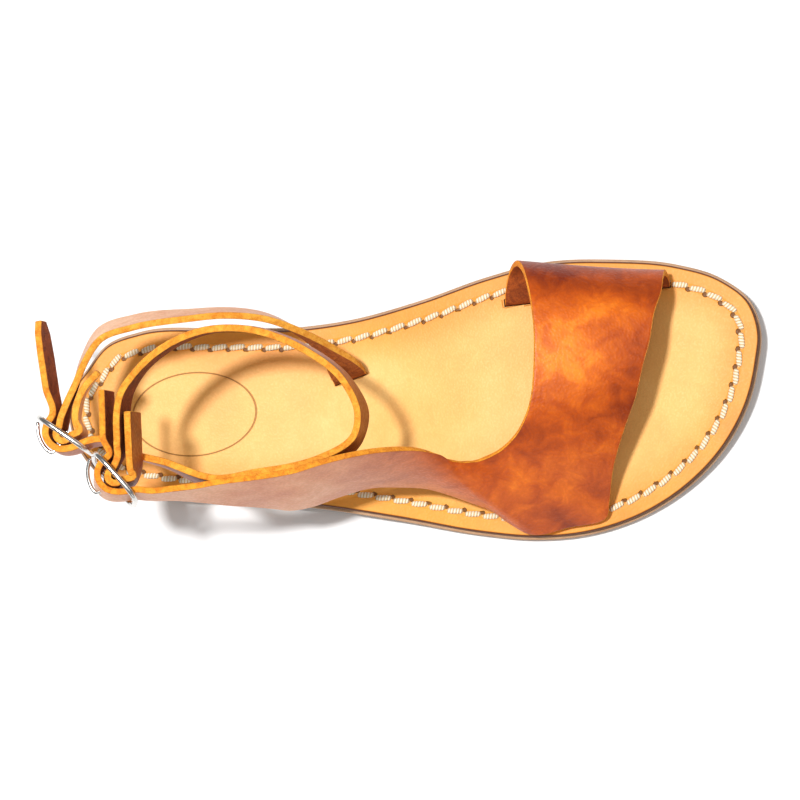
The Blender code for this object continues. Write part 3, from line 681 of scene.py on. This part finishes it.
def leather_sheet(name, middle, thickness, outer=1.0):
    """A closed wall of leather. Its two faces lie half the thickness from the middle surface, and
    a rim whose section is a superellipse joins them all round."""
    down, side = np.gradient(middle, axis=0), np.gradient(middle, axis=1)
    normal = unit(np.cross(side, down)) * outer
    half = np.broadcast_to(np.asarray(thickness) / 2, middle.shape[:1])[:, None, None]
    rows, columns = middle.shape[:2]
    index = np.arange(rows * columns).reshape(rows, columns)
    border = np.concatenate((index[0, :-1], index[:-1, -1], index[-1, :0:-1], index[:0:-1, 0]))
    away = np.zeros_like(middle)
    away[0] -= unit(down[0])
    away[-1] += unit(down[-1])
    away[:, 0] -= unit(side[:, 0])
    away[:, -1] += unit(side[:, -1])
    away = unit(away.reshape(-1, 3)[border])
    turn = np.linspace(0.0, math.pi, RIM_POINTS + 2)[1:-1, None, None]
    reach = np.sin(turn) ** (2 / RIM_POWER)
    level = rounded(np.cos(turn), 2 / RIM_POWER)
    rise = (normal * half).reshape(-1, 3)
    rim = middle.reshape(-1, 3)[border] + away * RIM_ROUND * reach + rise[border] * level
    faces = (middle + normal * half, middle - normal * half)
    points = np.vstack([part.reshape(-1, 3) for part in (*faces, rim)])
    i, j = np.mgrid[0 : rows - 1, 0 : columns - 1]
    face = np.stack((index[i, j], index[i, j + 1], index[i + 1, j + 1], index[i + 1, j]), axis=-1)
    face = face.reshape(-1, 4)
    loops = 2 * rows * columns + np.arange(RIM_POINTS * len(border)).reshape(RIM_POINTS, -1)
    loops = np.vstack((border, loops, border + rows * columns))
    after = np.roll(loops, -1, axis=1)
    strips = np.stack((loops[:-1], after[:-1], after[1:], loops[1:]), axis=-1).reshape(-1, 4)
    quads = np.vstack((face, face[:, ::-1] + rows * columns, strips))
    run = knots_of(middle[:, columns // 2])[:, None] + np.zeros(middle.shape[:2])
    across = np.linalg.norm(middle - middle[:, :1], axis=2)
    laid = np.stack((run, across, np.zeros_like(run)), axis=-1).reshape(-1, 3)
    laid = np.vstack((laid, laid, np.tile(laid[border], (RIM_POINTS, 1))))
    flesh = np.repeat((0.0, 1.0, 0.5), (rows * columns, rows * columns, rim.size // 3))
    cut = np.repeat((0.0, 1.0), (2 * rows * columns, rim.size // 3))
    return new_piece(name, points, quads, flesh=flesh, cut=cut, laid=laid)


def wire_form(path, binormal, radius, closed):
    """Round wire on a flat path: circles of the radius, and half a ball at each open end."""
    if closed:
        way = unit(np.roll(path, -1, axis=0) - np.roll(path, 1, axis=0))
        size = np.full(len(path), radius)
    else:
        way = unit(np.gradient(path, axis=0))
        cap = np.linspace(math.pi / 2, 0.0, CAP_RINGS)[:-1]
        start = path[:1] - way[:1] * radius * np.sin(cap)[:, None]
        end = path[-1:] + way[-1:] * radius * np.sin(cap[::-1])[:, None]
        middle = np.full(len(path), radius)
        path = np.vstack((start, path, end))
        way = np.pad(way, ((len(cap), len(cap)), (0, 0)), mode="edge")
        size = np.concatenate((radius * np.cos(cap), middle, radius * np.cos(cap[::-1])))
    side = unit(np.cross(way, binormal))
    turn = np.linspace(0.0, 2 * math.pi, WIRE_SIDES, endpoint=False)
    ring = np.cos(turn)[None, :, None] * side[:, None] + np.sin(turn)[None, :, None] * unit(binormal)
    points = path[:, None] + ring * size[:, None, None]
    if closed:
        points = np.concatenate((points, points[:1]))
    return points.reshape(-1, 3), wrapped_quads(len(points), WIRE_SIDES)


def join_forms(*forms):
    points, quads, count = [], [], 0
    for form_points, form_quads in forms:
        points.append(form_points)
        quads.append(form_quads + count)
        count += len(form_points)
    return np.vstack(points), np.vstack(quads)


def buckle_frame(name, seat):
    """The oval is a superellipse of wire in the plane of run and up, with a straight bar across."""
    turns = np.linspace(0.0, 2 * math.pi, FRAME_POINTS, endpoint=False)
    half_run, half_up = (BUCKLE_LENGTH - WIRE) / 2, (BUCKLE_HEIGHT - WIRE) / 2
    run = half_run * rounded(np.cos(turns), 2 / OVAL_POWER)
    up = half_up * rounded(np.sin(turns), 2 / OVAL_POWER)
    oval = wire_form(seat.line(run, 0 * run, up), seat.out, WIRE / 2, True)
    rise = np.linspace(-half_up, half_up, BAR_POINTS)
    bar = wire_form(seat.line(0 * rise, 0 * rise, rise), seat.out, BAR_RADIUS, False)
    return new_piece(name, *join_forms(oval, bar))


def buckle_prong(name, seat):
    """A pin on a smooth path from the bar over both straps to the far rail, and its eye, a ring."""
    rows = np.array([seat.point(run * BUCKLE_LENGTH / 2, out) for run, out in PRONG_PATH])
    pin = wire_form(smooth(rows, span_by_span(rows, PIN_STEP)), seat.up, PRONG / 2, False)
    turns = np.linspace(0.0, 2 * math.pi, EYE_POINTS, endpoint=False)
    reach = WIRE / 2 + CLEARANCE / 2 + EYE_RADIUS
    eye = seat.line(reach * np.cos(turns), reach * np.sin(turns), 0 * turns)
    return new_piece(name, *join_forms(pin, wire_form(eye, seat.up, EYE_RADIUS, True)))


def stitch_forms():
    """Every stitch at once: an ellipse carried along the row, flattened, thin at both ends, where
    it dips into its holes, and turned a little to the row."""
    line, way, lengths = stitch_row()
    pitch = lengths[-1] / STITCH_COUNT
    places = pitch * (np.arange(STITCH_COUNT) + 0.5)
    closed = np.vstack((np.hstack((line, way)), np.hstack((line, way))[:1]))
    flat = np.column_stack([np.interp(places, lengths, column) for column in closed.T[:2]])
    heading = unit(np.column_stack([np.interp(places, lengths, column) for column in closed.T[2:]]))
    along = flat[:, 0] / SOLE_LENGTH
    shown = ~((along > TAB_COVERS[0]) & (along < TAB_COVERS[1]) & (flat[:, 1] < 0))
    flat, heading, along = flat[shown], heading[shown], along[shown]
    slant = math.radians(STITCH_SLANT)
    ahead, aside = math.cos(slant), math.sin(slant)
    heading = heading @ np.array(((ahead, aside), (-aside, ahead)))
    side = np.column_stack((-heading[:, 1], heading[:, 0]))
    u = np.linspace(-1.0, 1.0, STITCH_RINGS)[None, :, None]
    v = np.linspace(0.0, 2 * math.pi, STITCH_SIDES, endpoint=False)[None, None, :]
    body = np.sqrt(np.clip(1 - np.abs(u) ** STITCH_FULLNESS, 0.0, 1.0))
    run = u * pitch * STITCH_SHARE / 2 + 0 * v
    reach = STITCH_WIDTH / 2 * body * np.cos(v)
    dip = STITCH_DIP * np.abs(u) ** STITCH_DIP_POWER
    lift = STITCH_HEIGHT * (body * np.sin(v) * STITCH_BULGE + STITCH_RAISE - dip)
    ones = np.ones((len(flat), 1, 1))
    x = flat[:, 0, None, None] + heading[:, 0, None, None] * run + side[:, 0, None, None] * reach
    y = flat[:, 1, None, None] + heading[:, 1, None, None] * run + side[:, 1, None, None] * reach
    z = footbed(x / SOLE_LENGTH) + lift * ones
    points = np.stack((x - HEEL_SEAT, y, z), axis=-1)
    quads = wrapped_quads(STITCH_RINGS, STITCH_SIDES)
    starts = np.arange(len(flat))[:, None, None] * STITCH_RINGS * STITCH_SIDES
    round_it = (v / (2 * math.pi) + 0 * u) * STITCH_WIDTH * ones
    laid = np.stack((run * ones, round_it, 0 * x), axis=-1)
    return points.reshape(-1, 3), (quads[None] + starts).reshape(-1, 4), laid.reshape(-1, 3)


def screen(red, green, blue):
    """A colour as it shows on a screen, 0 to 255, turned into linear light."""
    share = np.array((red, green, blue)) / 255
    linear = np.where(share <= 0.04045, share / 12.92, ((share + 0.055) / 1.055) ** 2.4)
    return (*linear, 1.0)


class Tree:
    """Short calls for making the nodes of one tree."""

    def __init__(self, tree):
        self.tree = tree

    def node(self, kind, inputs=None, **settings):
        made = self.tree.nodes.new("ShaderNode" + kind)
        for key, value in settings.items():
            setattr(made, key, value)
        for key, value in (inputs or {}).items():
            self.give(made.inputs[key], value)
        return made

    def give(self, socket, value):
        if isinstance(value, bpy.types.NodeSocket):
            self.tree.links.new(value, socket)
        else:
            socket.default_value = value

    def math(self, operation, first, second=0.0):
        return self.node("Math", {0: first, 1: second}, operation=operation).outputs[0]

    def plus(self, first, second):
        return self.math("ADD", first, second)

    def minus(self, first, second):
        return self.math("SUBTRACT", first, second)

    def times(self, first, second):
        return self.math("MULTIPLY", first, second)

    def over(self, first, second):
        return self.math("DIVIDE", first, second)

    def noise(self, vector, size, detail=3.0, roughness=0.55, distortion=0.0):
        """Noise whose lumps are about the size given, in metres."""
        inputs = {"Vector": vector, "Detail": detail, "Roughness": roughness, "Distortion": distortion}
        scale = self.math("DIVIDE", 1.0, size) if isinstance(size, bpy.types.NodeSocket) else 1.0 / size
        return self.node("TexNoise", {**inputs, "Scale": scale}).outputs["Fac"]

    def ramp(self, value, *stops):
        """A colour ramp through stops of place, red, green and blue, in screen colours."""
        made = self.node("ValToRGB", {"Fac": value})
        elements = made.color_ramp.elements
        while len(elements) < len(stops):
            elements.new(0.5)
        for element, (place, *colour) in zip(elements, stops):
            element.position = place
            element.color = screen(*colour)
        return made.outputs["Color"]

    def mix(self, share, first, second):
        return self.node("Mix", {0: share, 6: first, 7: second}, data_type="RGBA").outputs[2]

    def tint(self, colour, mask, strength, *tone):
        """The colour moved, where the mask is 1 and by the strength, to a screen colour."""
        return self.mix(self.times(mask, strength), colour, screen(*tone))

    def blend(self, share, first, second):
        return self.node("Mix", {0: share, 2: first, 3: second}, data_type="FLOAT").outputs[0]

    def ease(self, value, low, high, start=0.0, end=1.0):
        """A smooth step from start at low to end at high."""
        inputs = {"Value": value, "From Min": low, "From Max": high, "To Min": start, "To Max": end}
        return self.node("MapRange", inputs, interpolation_type="SMOOTHSTEP").outputs["Result"]

    def mark(self, name, output="Fac"):
        return self.node("Attribute", attribute_name=name).outputs[output]

    def place(self):
        return self.node("TexCoord").outputs["Object"]

    def axes(self, vector):
        return self.node("SeparateXYZ", {0: vector}).outputs


def new_group(name, inputs, outputs):
    """A node group with its sockets, as (name, kind, value) rows, and its two ends."""
    group = bpy.data.node_groups.new(name, "ShaderNodeTree")
    for socket, kind, value in inputs:
        made = group.interface.new_socket(socket, in_out="INPUT", socket_type="NodeSocket" + kind)
        if value is not None:
            made.default_value = value
    for socket in outputs:
        group.interface.new_socket(socket, in_out="OUTPUT", socket_type="NodeSocketFloat")
    given, wanted = group.nodes.new("NodeGroupInput"), group.nodes.new("NodeGroupOutput")
    return Tree(group), given.outputs, wanted.inputs


def grain_group():
    """Grain side of leather: pores in cells, and soft wrinkles that are a few pores long."""
    inputs = (("Vector", "Vector", None), ("Pore size", "Float", 0.0009), ("Wrinkles", "Float", 0.5))
    tree, given, wanted = new_group("Leather grain", inputs, ("Height", "Pores"))
    scale = tree.over(1.0, given["Pore size"])
    cells = tree.node("TexVoronoi", {"Vector": given["Vector"], "Scale": scale}, feature="SMOOTH_F1")
    wide = tree.times(given["Pore size"], 5.0)
    wrinkles = tree.noise(given["Vector"], wide, 5.0, 0.6, 0.8)
    pores = tree.ease(cells.outputs["Distance"], 0.1, 0.6)
    lumps = tree.times(wrinkles, given["Wrinkles"])
    tree.give(wanted["Height"], tree.minus(lumps, tree.times(pores, 0.35)))
    tree.give(wanted["Pores"], pores)
    return tree.tree


def fibre_group():
    """Flesh side and cut edges: short fibres, drawn out along the piece, and loose clumps."""
    inputs = (("Vector", "Vector", None), ("Fibre size", "Float", 0.0008))
    tree, given, wanted = new_group("Leather fibre", inputs, ("Height", "Tone"))
    wide = tree.times(given["Fibre size"], 6.0)
    clumps = tree.noise(given["Vector"], wide, 4.0, 0.65, 1.2)
    hairs = tree.noise(given["Vector"], given["Fibre size"], 3.0, 0.7, 1.6)
    tone = tree.plus(tree.times(clumps, 0.55), tree.times(hairs, 0.45))
    tree.give(wanted["Height"], tone)
    tree.give(wanted["Tone"], tree.ease(tone, 0.32, 0.68))
    return tree.tree


def dye_group():
    """Hand-rubbed dye: wide soft patches with streaks in them."""
    inputs = (("Vector", "Vector", None), ("Patch size", "Float", 0.03), ("Contrast", "Float", 1.0))
    tree, given, wanted = new_group("Rubbed dye", inputs, ("Tone",))
    patches = tree.noise(given["Vector"], given["Patch size"], 2.0, 0.5, 0.6)
    narrow = tree.times(given["Patch size"], 0.22)
    streaks = tree.noise(given["Vector"], narrow, 4.0, 0.6, 1.0)
    tone = tree.plus(tree.times(patches, 0.7), tree.times(streaks, 0.3))
    tone = tree.times(tree.minus(tone, 0.5), given["Contrast"])
    tone = tree.times(tone, 2.2)
    tone = tree.node("Math", {0: tone, 1: 0.5}, operation="ADD", use_clamp=True)
    tree.give(wanted["Tone"], tone.outputs[0])
    return tree.tree


GRAIN, FIBRE, DYE = grain_group(), fibre_group(), dye_group()


def use(tree, group, **values):
    made = tree.tree.nodes.new("ShaderNodeGroup")
    made.node_tree = group
    for key, value in values.items():
        tree.give(made.inputs[key.replace("_", " ")], value)
    return made.outputs


def new_finish(name, **constants):
    """A material with its constants on the shader's own sockets: its tree and its shader."""
    material = bpy.data.materials.new(name)
    material.use_nodes = True
    shader = material.node_tree.nodes["Principled BSDF"]
    for key, value in constants.items():
        shader.inputs[key.replace("_", " ")].default_value = value
    return material, Tree(material.node_tree), shader.inputs


def add_bump(tree, sockets, height, depth, strength=1.0):
    bump = tree.node("Bump", {"Height": height, "Distance": depth, "Strength": strength})
    tree.give(sockets["Normal"], bump.outputs["Normal"])


def leather_finish(name, outer, tones, shine):
    """Leather with three looks: outer gives the grain side's colour, tones those of the other two,
    and the attributes flesh and cut say where these show."""
    flesh_dark, flesh_light, cut_dark, cut_light = tones
    material, tree, sockets = new_finish(name, Coat_Weight=0.0, IOR=1.45)
    place = tree.place()
    grain = use(tree, GRAIN, Vector=place, Pore_size=0.0010, Wrinkles=0.6)
    fibre = use(tree, FIBRE, Vector=place, Fibre_size=0.0006)
    flesh, cut = tree.mark("flesh"), tree.ease(tree.mark("cut"), 0.25, 0.75)
    colour = tree.tint(outer(tree, place), grain["Pores"], 0.10, 60, 20, 5)
    colour = tree.mix(flesh, colour, tree.ramp(fibre["Tone"], (0.0, *flesh_dark), (1.0, *flesh_light)))
    colour = tree.mix(cut, colour, tree.ramp(fibre["Tone"], (0.0, *cut_dark), (1.0, *cut_light)))
    tree.give(sockets["Base Color"], colour)
    dull = tree.math("MAXIMUM", flesh, cut)
    gloss = tree.ease(grain["Height"], -0.2, 0.6, shine + 0.10, shine - 0.06)
    tree.give(sockets["Roughness"], tree.blend(dull, gloss, 0.85))
    height = tree.blend(dull, tree.times(grain["Height"], 0.35), fibre["Height"])
    add_bump(tree, sockets, height, 0.0004)
    return material


def cognac(tree, place):
    """The band's grain side: dark and light cognac, with painted reflection that makes it paler and pinker
    towards the heel.
    """
    tone = use(tree, DYE, Vector=place, Patch_size=0.034, Contrast=1.3)["Tone"]
    band = tree.ramp(tone, (0.0, 128, 40, 0), (0.45, 190, 78, 2), (0.75, 222, 104, 8), (1.0, 250, 140, 28))
    # Painted reflection: the panel's and the heel's paler, pinker colours stand in for the white
    # surroundings mirrored in the leather.
    panel = tree.ramp(tone, (0.0, 205, 110, 60), (0.6, 232, 150, 100), (1.0, 246, 178, 132))
    heel = tree.ramp(tone, (0.0, 222, 140, 90), (1.0, 250, 200, 160))
    run = tree.axes(tree.mark("laid", "Vector"))[0]
    colour = tree.mix(tree.ease(run, *PANEL_REFLECTION_FADE), band, panel)
    return tree.mix(tree.ease(run, *HEEL_REFLECTION_FADE), colour, heel)


def strap_brown(tree, place):
    tone = use(tree, DYE, Vector=place, Patch_size=0.018, Contrast=1.2)["Tone"]
    return tree.ramp(tone, (0.0, 120, 44, 8), (0.5, 178, 84, 22), (1.0, 214, 122, 48))


def strap_peach(tree, place):
    tone = use(tree, DYE, Vector=place, Patch_size=0.02, Contrast=1.0)["Tone"]
    return tree.ramp(tone, (0.0, 222, 140, 88), (1.0, 250, 205, 165))


def awl_holes(tree, margin):
    """1 in an ellipse at each end of every stitch. The attribute beat is the cosine of the way along
    the row, from which the sine of half that way gives the distance to the nearest end."""
    pitch = stitch_row()[2][-1] / STITCH_COUNT
    half_sine = tree.math("SQRT", tree.times(tree.minus(1.0, tree.mark("beat")), 0.5))
    along = tree.times(half_sine, pitch / math.pi / HOLE_RADII[0])
    across = tree.over(tree.minus(margin, STITCH_INSET + HOLE_INSET), HOLE_RADII[1])
    across = tree.math("ABSOLUTE", across)
    hole = tree.plus(tree.math("POWER", along, 2.0), tree.math("POWER", across, 2.0))
    return tree.ease(tree.ease(hole, 1.3, 0.5), 0.0, 1.0)


def insole_finish():
    """Golden tan leather, deeper near its edge, with a dyed edge, awl holes and a stamped oval."""
    material, tree, sockets = new_finish("insole leather", IOR=1.45)
    place = tree.place()
    margin = tree.mark("margin")
    x, y, _ = tree.axes(place)
    tone = use(tree, DYE, Vector=place, Patch_size=0.045, Contrast=0.9)["Tone"]
    grain = use(tree, GRAIN, Vector=place, Pore_size=0.0007, Wrinkles=0.4)
    middle = tree.ramp(tone, (0.0, 240, 170, 80), (0.6, 251, 190, 98), (1.0, 255, 206, 120))
    rim = tree.ramp(tone, (0.0, 226, 140, 36), (1.0, 250, 172, 56))
    colour = tree.mix(tree.ease(margin, *RIM_TONE), rim, middle)
    colour = tree.tint(colour, grain["Pores"], 0.10, 190, 110, 30)
    stamp = stamped_oval(tree, x, y)
    colour = tree.tint(colour, stamp, 0.75, 150, 86, 24)
    hole = awl_holes(tree, margin)
    colour = tree.tint(colour, hole, 0.85, 80, 36, 6)
    colour = tree.tint(colour, tree.ease(margin, *DYED_EDGE), 1.0, 96, 44, 12)
    tree.give(sockets["Base Color"], colour)
    tree.give(sockets["Roughness"], tree.ease(grain["Height"], -0.2, 0.6, 0.52, 0.40))
    height = tree.times(grain["Height"], 0.25)
    height = tree.minus(height, stamp)
    height = tree.minus(height, tree.times(hole, 2.0))
    channel = tree.math("ABSOLUTE", tree.minus(margin, STITCH_INSET))
    height = tree.plus(height, tree.ease(channel, 0.0, CHANNEL_HALF, -0.8, 0.0))
    add_bump(tree, sockets, height, 0.0003)
    return material


def stamped_oval(tree, x, y):
    """1 on a thin oval line: where the scaled distance from its middle is close to 1."""
    sides = []
    for value, middle, radius in zip((x, y), OVAL_PLACE, OVAL_RADII):
        share = tree.over(tree.minus(value, middle), radius)
        sides.append(tree.math("POWER", tree.math("ABSOLUTE", share), 2.0))
    ring = tree.minus(tree.math("SQRT", tree.plus(*sides)), 1.0)
    ring = tree.times(tree.math("ABSOLUTE", ring), sum(OVAL_RADII) / 2)
    return tree.ease(ring, OVAL_LINE, OVAL_LINE * 0.3)


def outsole_finish():
    """Sole leather, beige, with a dark line where the heel lift meets it."""
    material, tree, sockets = new_finish("outsole leather", IOR=1.45)
    place = tree.place()
    x, _, z = tree.axes(place)
    fibre = use(tree, FIBRE, Vector=place, Fibre_size=0.0007)
    tone = use(tree, DYE, Vector=place, Patch_size=0.03, Contrast=1.0)["Tone"]
    colour = tree.ramp(tone, (0.0, 172, 128, 92), (1.0, 214, 172, 134))
    colour = tree.tint(colour, fibre["Tone"], 0.22, 120, 78, 48)
    seam = tree.math("ABSOLUTE", tree.minus(z, HEEL_HEIGHT))
    seam = tree.ease(seam, *LIFT_LINE)
    heel = tree.math("LESS_THAN", x, world_x(BREAST))
    seam = tree.times(seam, heel)
    colour = tree.tint(colour, seam, 1.0, 56, 30, 14)
    tree.give(sockets["Base Color"], colour)
    tree.give(sockets["Roughness"], tree.ease(tone, 0.0, 1.0, 0.50, 0.62))
    height = tree.times(fibre["Height"], 0.4)
    add_bump(tree, sockets, tree.minus(height, tree.times(seam, 1.5)), 0.0003)
    return material


def thread_finish():
    """Waxed cotton: plies that run slantwise round the stitch."""
    material, tree, sockets = new_finish("waxed thread", Roughness=0.75)
    run, round_it, _ = tree.axes(tree.mark("laid", "Vector"))
    turn = tree.plus(tree.over(run, PLY_LENGTH), tree.over(round_it, STITCH_WIDTH))
    ply = tree.math("SINE", tree.times(turn, 2 * math.pi))
    ply = tree.plus(tree.times(ply, 0.5), 0.5)
    fuzz = tree.noise(tree.place(), 0.0006, 3.0, 0.7)
    colour = tree.ramp(ply, (0.0, 214, 182, 128), (0.5, 250, 234, 200), (1.0, 255, 248, 226))
    colour = tree.tint(colour, fuzz, 0.2, 200, 150, 90)
    tree.give(sockets["Base Color"], colour)
    add_bump(tree, sockets, tree.plus(ply, tree.times(fuzz, 0.4)), 0.00022)
    return material


def wire_finish():
    """Nickel-plated wire, bright, with faint draw marks and handling smears."""
    material, tree, sockets = new_finish("nickel wire", Metallic=1.0)
    place = tree.place()
    smear = tree.noise(place, 0.004, 3.0, 0.6)
    scratch = tree.noise(place, 0.0004, 2.0, 0.5)
    tree.give(sockets["Base Color"], tree.ramp(smear, (0.2, 196, 194, 190), (0.8, 232, 230, 226)))
    tree.give(sockets["Roughness"], tree.ease(smear, 0.3, 0.7, 0.14, 0.28))
    add_bump(tree, sockets, scratch, 0.00003, 0.5)
    return material


def placed(piece, material, slot, *nodes):
    piece.data.materials.append(material)
    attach(piece, "root")
    if nodes:
        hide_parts(*nodes)
    return piece


def slot_box(ends, thickness):
    """A box through the insole between two points, with clearance all round."""
    ends = np.array(ends)
    way = ends[1] - ends[0]
    bpy.ops.mesh.primitive_cube_add(size=1.0)
    cutter = bpy.context.active_object
    length = np.linalg.norm(way[:2]) + 2 * CLEARANCE
    size = Matrix.Diagonal((length, thickness + 2 * CLEARANCE, 4 * INSOLE_THICKNESS, 1.0))
    turn = Matrix.Rotation(math.atan2(way[1], way[0]), 4, "Z")
    cutter.matrix_world = Matrix.Translation(Vector(ends.mean(axis=0))) @ turn @ size
    return cutter


def cut_out(piece, cutters):
    """Takes the cutters away from the piece for good."""
    for cutter in cutters:
        modifier = piece.modifiers.new("Slot", "BOOLEAN")
        modifier.operation = "DIFFERENCE"
        modifier.object = cutter
        modifier.solver = "EXACT"
    bpy.context.view_layer.update()
    shape = piece.evaluated_get(bpy.context.evaluated_depsgraph_get())
    mesh = bpy.data.meshes.new_from_object(shape)
    piece.modifiers.clear()
    piece.data = mesh
    mesh.shade_smooth()
    mesh.set_sharp_from_angle(angle=math.radians(SHARP_ANGLE))
    for cutter in cutters:
        bpy.data.objects.remove(cutter)


def build_soles():
    outsole = sole_form(SOLE_MARGIN, outsole_bottom, outsole_top, OUTSOLE_ROUND, LOW_ROUND)
    quads = wrapped_quads(*outsole.shape[:2])
    placed(new_piece("outsole_leather", outsole, quads), outsole_finish(), "outsole", "outsole")

    form = sole_form(0.0, insole_bottom, footbed, INSOLE_ROUND, LOW_ROUND)
    margin, beat = edge_marks(form)
    insole = new_piece("insole_leather", form, wrapped_quads(*form.shape[:2]), margin=margin, beat=beat)
    band = edge_points(BAND_SECTIONS[:1], 0.0)[0]
    fold = fold_grid()[-1]
    heel = ribbon_grid(heel_strap_rows())[0]
    slots = (
        slot_box((band[:3], band[3:]), UPPER_WALL),
        slot_box((fold[0], fold[-1]), UPPER_WALL),
        slot_box((heel[0], heel[-1]), STRAP_THICKNESS),
    )
    cut_out(insole, slots)
    placed(insole, insole_finish(), "insole", "insole")

    points, quads, laid = stitch_forms()
    placed(new_piece("insole_stitches", points, quads, laid=laid), thread_finish(), "insole")


def build_leathers():
    upper_finish = leather_finish("upper leather", cognac, UPPER_TONES, 0.34)
    upper = leather_sheet("upper_leather", upper_grid(), UPPER_WALL)
    placed(upper, upper_finish, "upper", "upper")
    placed(leather_sheet("band_fold", fold_grid(), UPPER_WALL), upper_finish, "upper")

    ankle_finish = leather_finish("ankle strap leather", strap_brown, ANKLE_TONES, 0.42)
    grid = ribbon_grid(ankle_strap_rows(), (TIP_LENGTHS, TIP_WIDTHS))
    ankle = leather_sheet("ankle_strap_leather", grid, STRAP_THICKNESS)
    placed(ankle, ankle_finish, "strap", "ankle_strap")

    heel_finish = leather_finish("heel strap leather", strap_peach, HEEL_TONES, 0.42)
    heel = leather_sheet("heel_strap_leather", ribbon_grid(heel_strap_rows()), STRAP_THICKNESS, -1.0)
    placed(heel, heel_finish, "strap", "heel_strap")


def build_buckles():
    wire = wire_finish()
    for place, row in (("ankle", ANKLE_BUCKLE), ("heel", HEEL_BUCKLE)):
        seat = BuckleSeat(*row)
        frame_node, prong_node = place + "_buckle_frame", place + "_buckle_prong"
        placed(buckle_frame(place + "_buckle_wire", seat), wire, "buckle", frame_node)
        placed(buckle_prong(place + "_buckle_pin", seat), wire, "buckle", prong_node)


def look_along(obj, start, aim, up):
    """Puts an object at start, facing aim, with its top towards up."""
    ahead = (Vector(aim) - Vector(start)).normalized()
    right = ahead.cross(Vector(up)).normalized()
    top = right.cross(ahead)
    turn = Matrix((right, top, -ahead)).transposed().to_4x4()
    obj.matrix_world = Matrix.Translation(Vector(start)) @ turn


def build_camera():
    camera = bpy.data.cameras.new("camera")
    camera.lens = CAMERA_LENS
    camera.sensor_width = CAMERA_SENSOR
    camera.clip_start, camera.clip_end = CAMERA_CLIP
    obj = bpy.data.objects.new("camera", camera)
    bpy.context.scene.collection.objects.link(obj)
    roll = math.radians(CAMERA_ROLL)
    look_along(obj, CAMERA_AT, CAMERA_AIM, (math.sin(roll), math.cos(roll), 0.0))
    bpy.context.scene.camera = obj


def area_light(name, start, size, power):
    light = bpy.data.lights.new(name, "AREA")
    light.shape = "DISK"
    light.size = size
    light.energy = power
    obj = bpy.data.objects.new(name, light)
    bpy.context.scene.collection.objects.link(obj)
    look_along(obj, start, LIGHT_AIM, (0.0, 1.0, 0.1))


def build_stage():
    bpy.ops.mesh.primitive_plane_add(size=FLOOR_SIZE)
    floor = bpy.context.active_object
    floor.name = "floor"
    paper = (FLOOR_TONE, FLOOR_TONE, FLOOR_TONE, 1.0)
    floor.data.materials.append(new_finish("white paper", Roughness=0.9, Base_Color=paper)[0])
    for row in LIGHTS:
        area_light(*row)
    world = bpy.data.worlds.new("studio")
    world.use_nodes = True
    background = world.node_tree.nodes["Background"]
    background.inputs["Color"].default_value = (1.0, 1.0, 1.0, 1.0)
    background.inputs["Strength"].default_value = SKY_STRENGTH
    bpy.context.scene.world = world
    bpy.context.scene.view_settings.view_transform = "Standard"


build_camera()
build_stage()
build_soles()
build_leathers()
build_buckles()
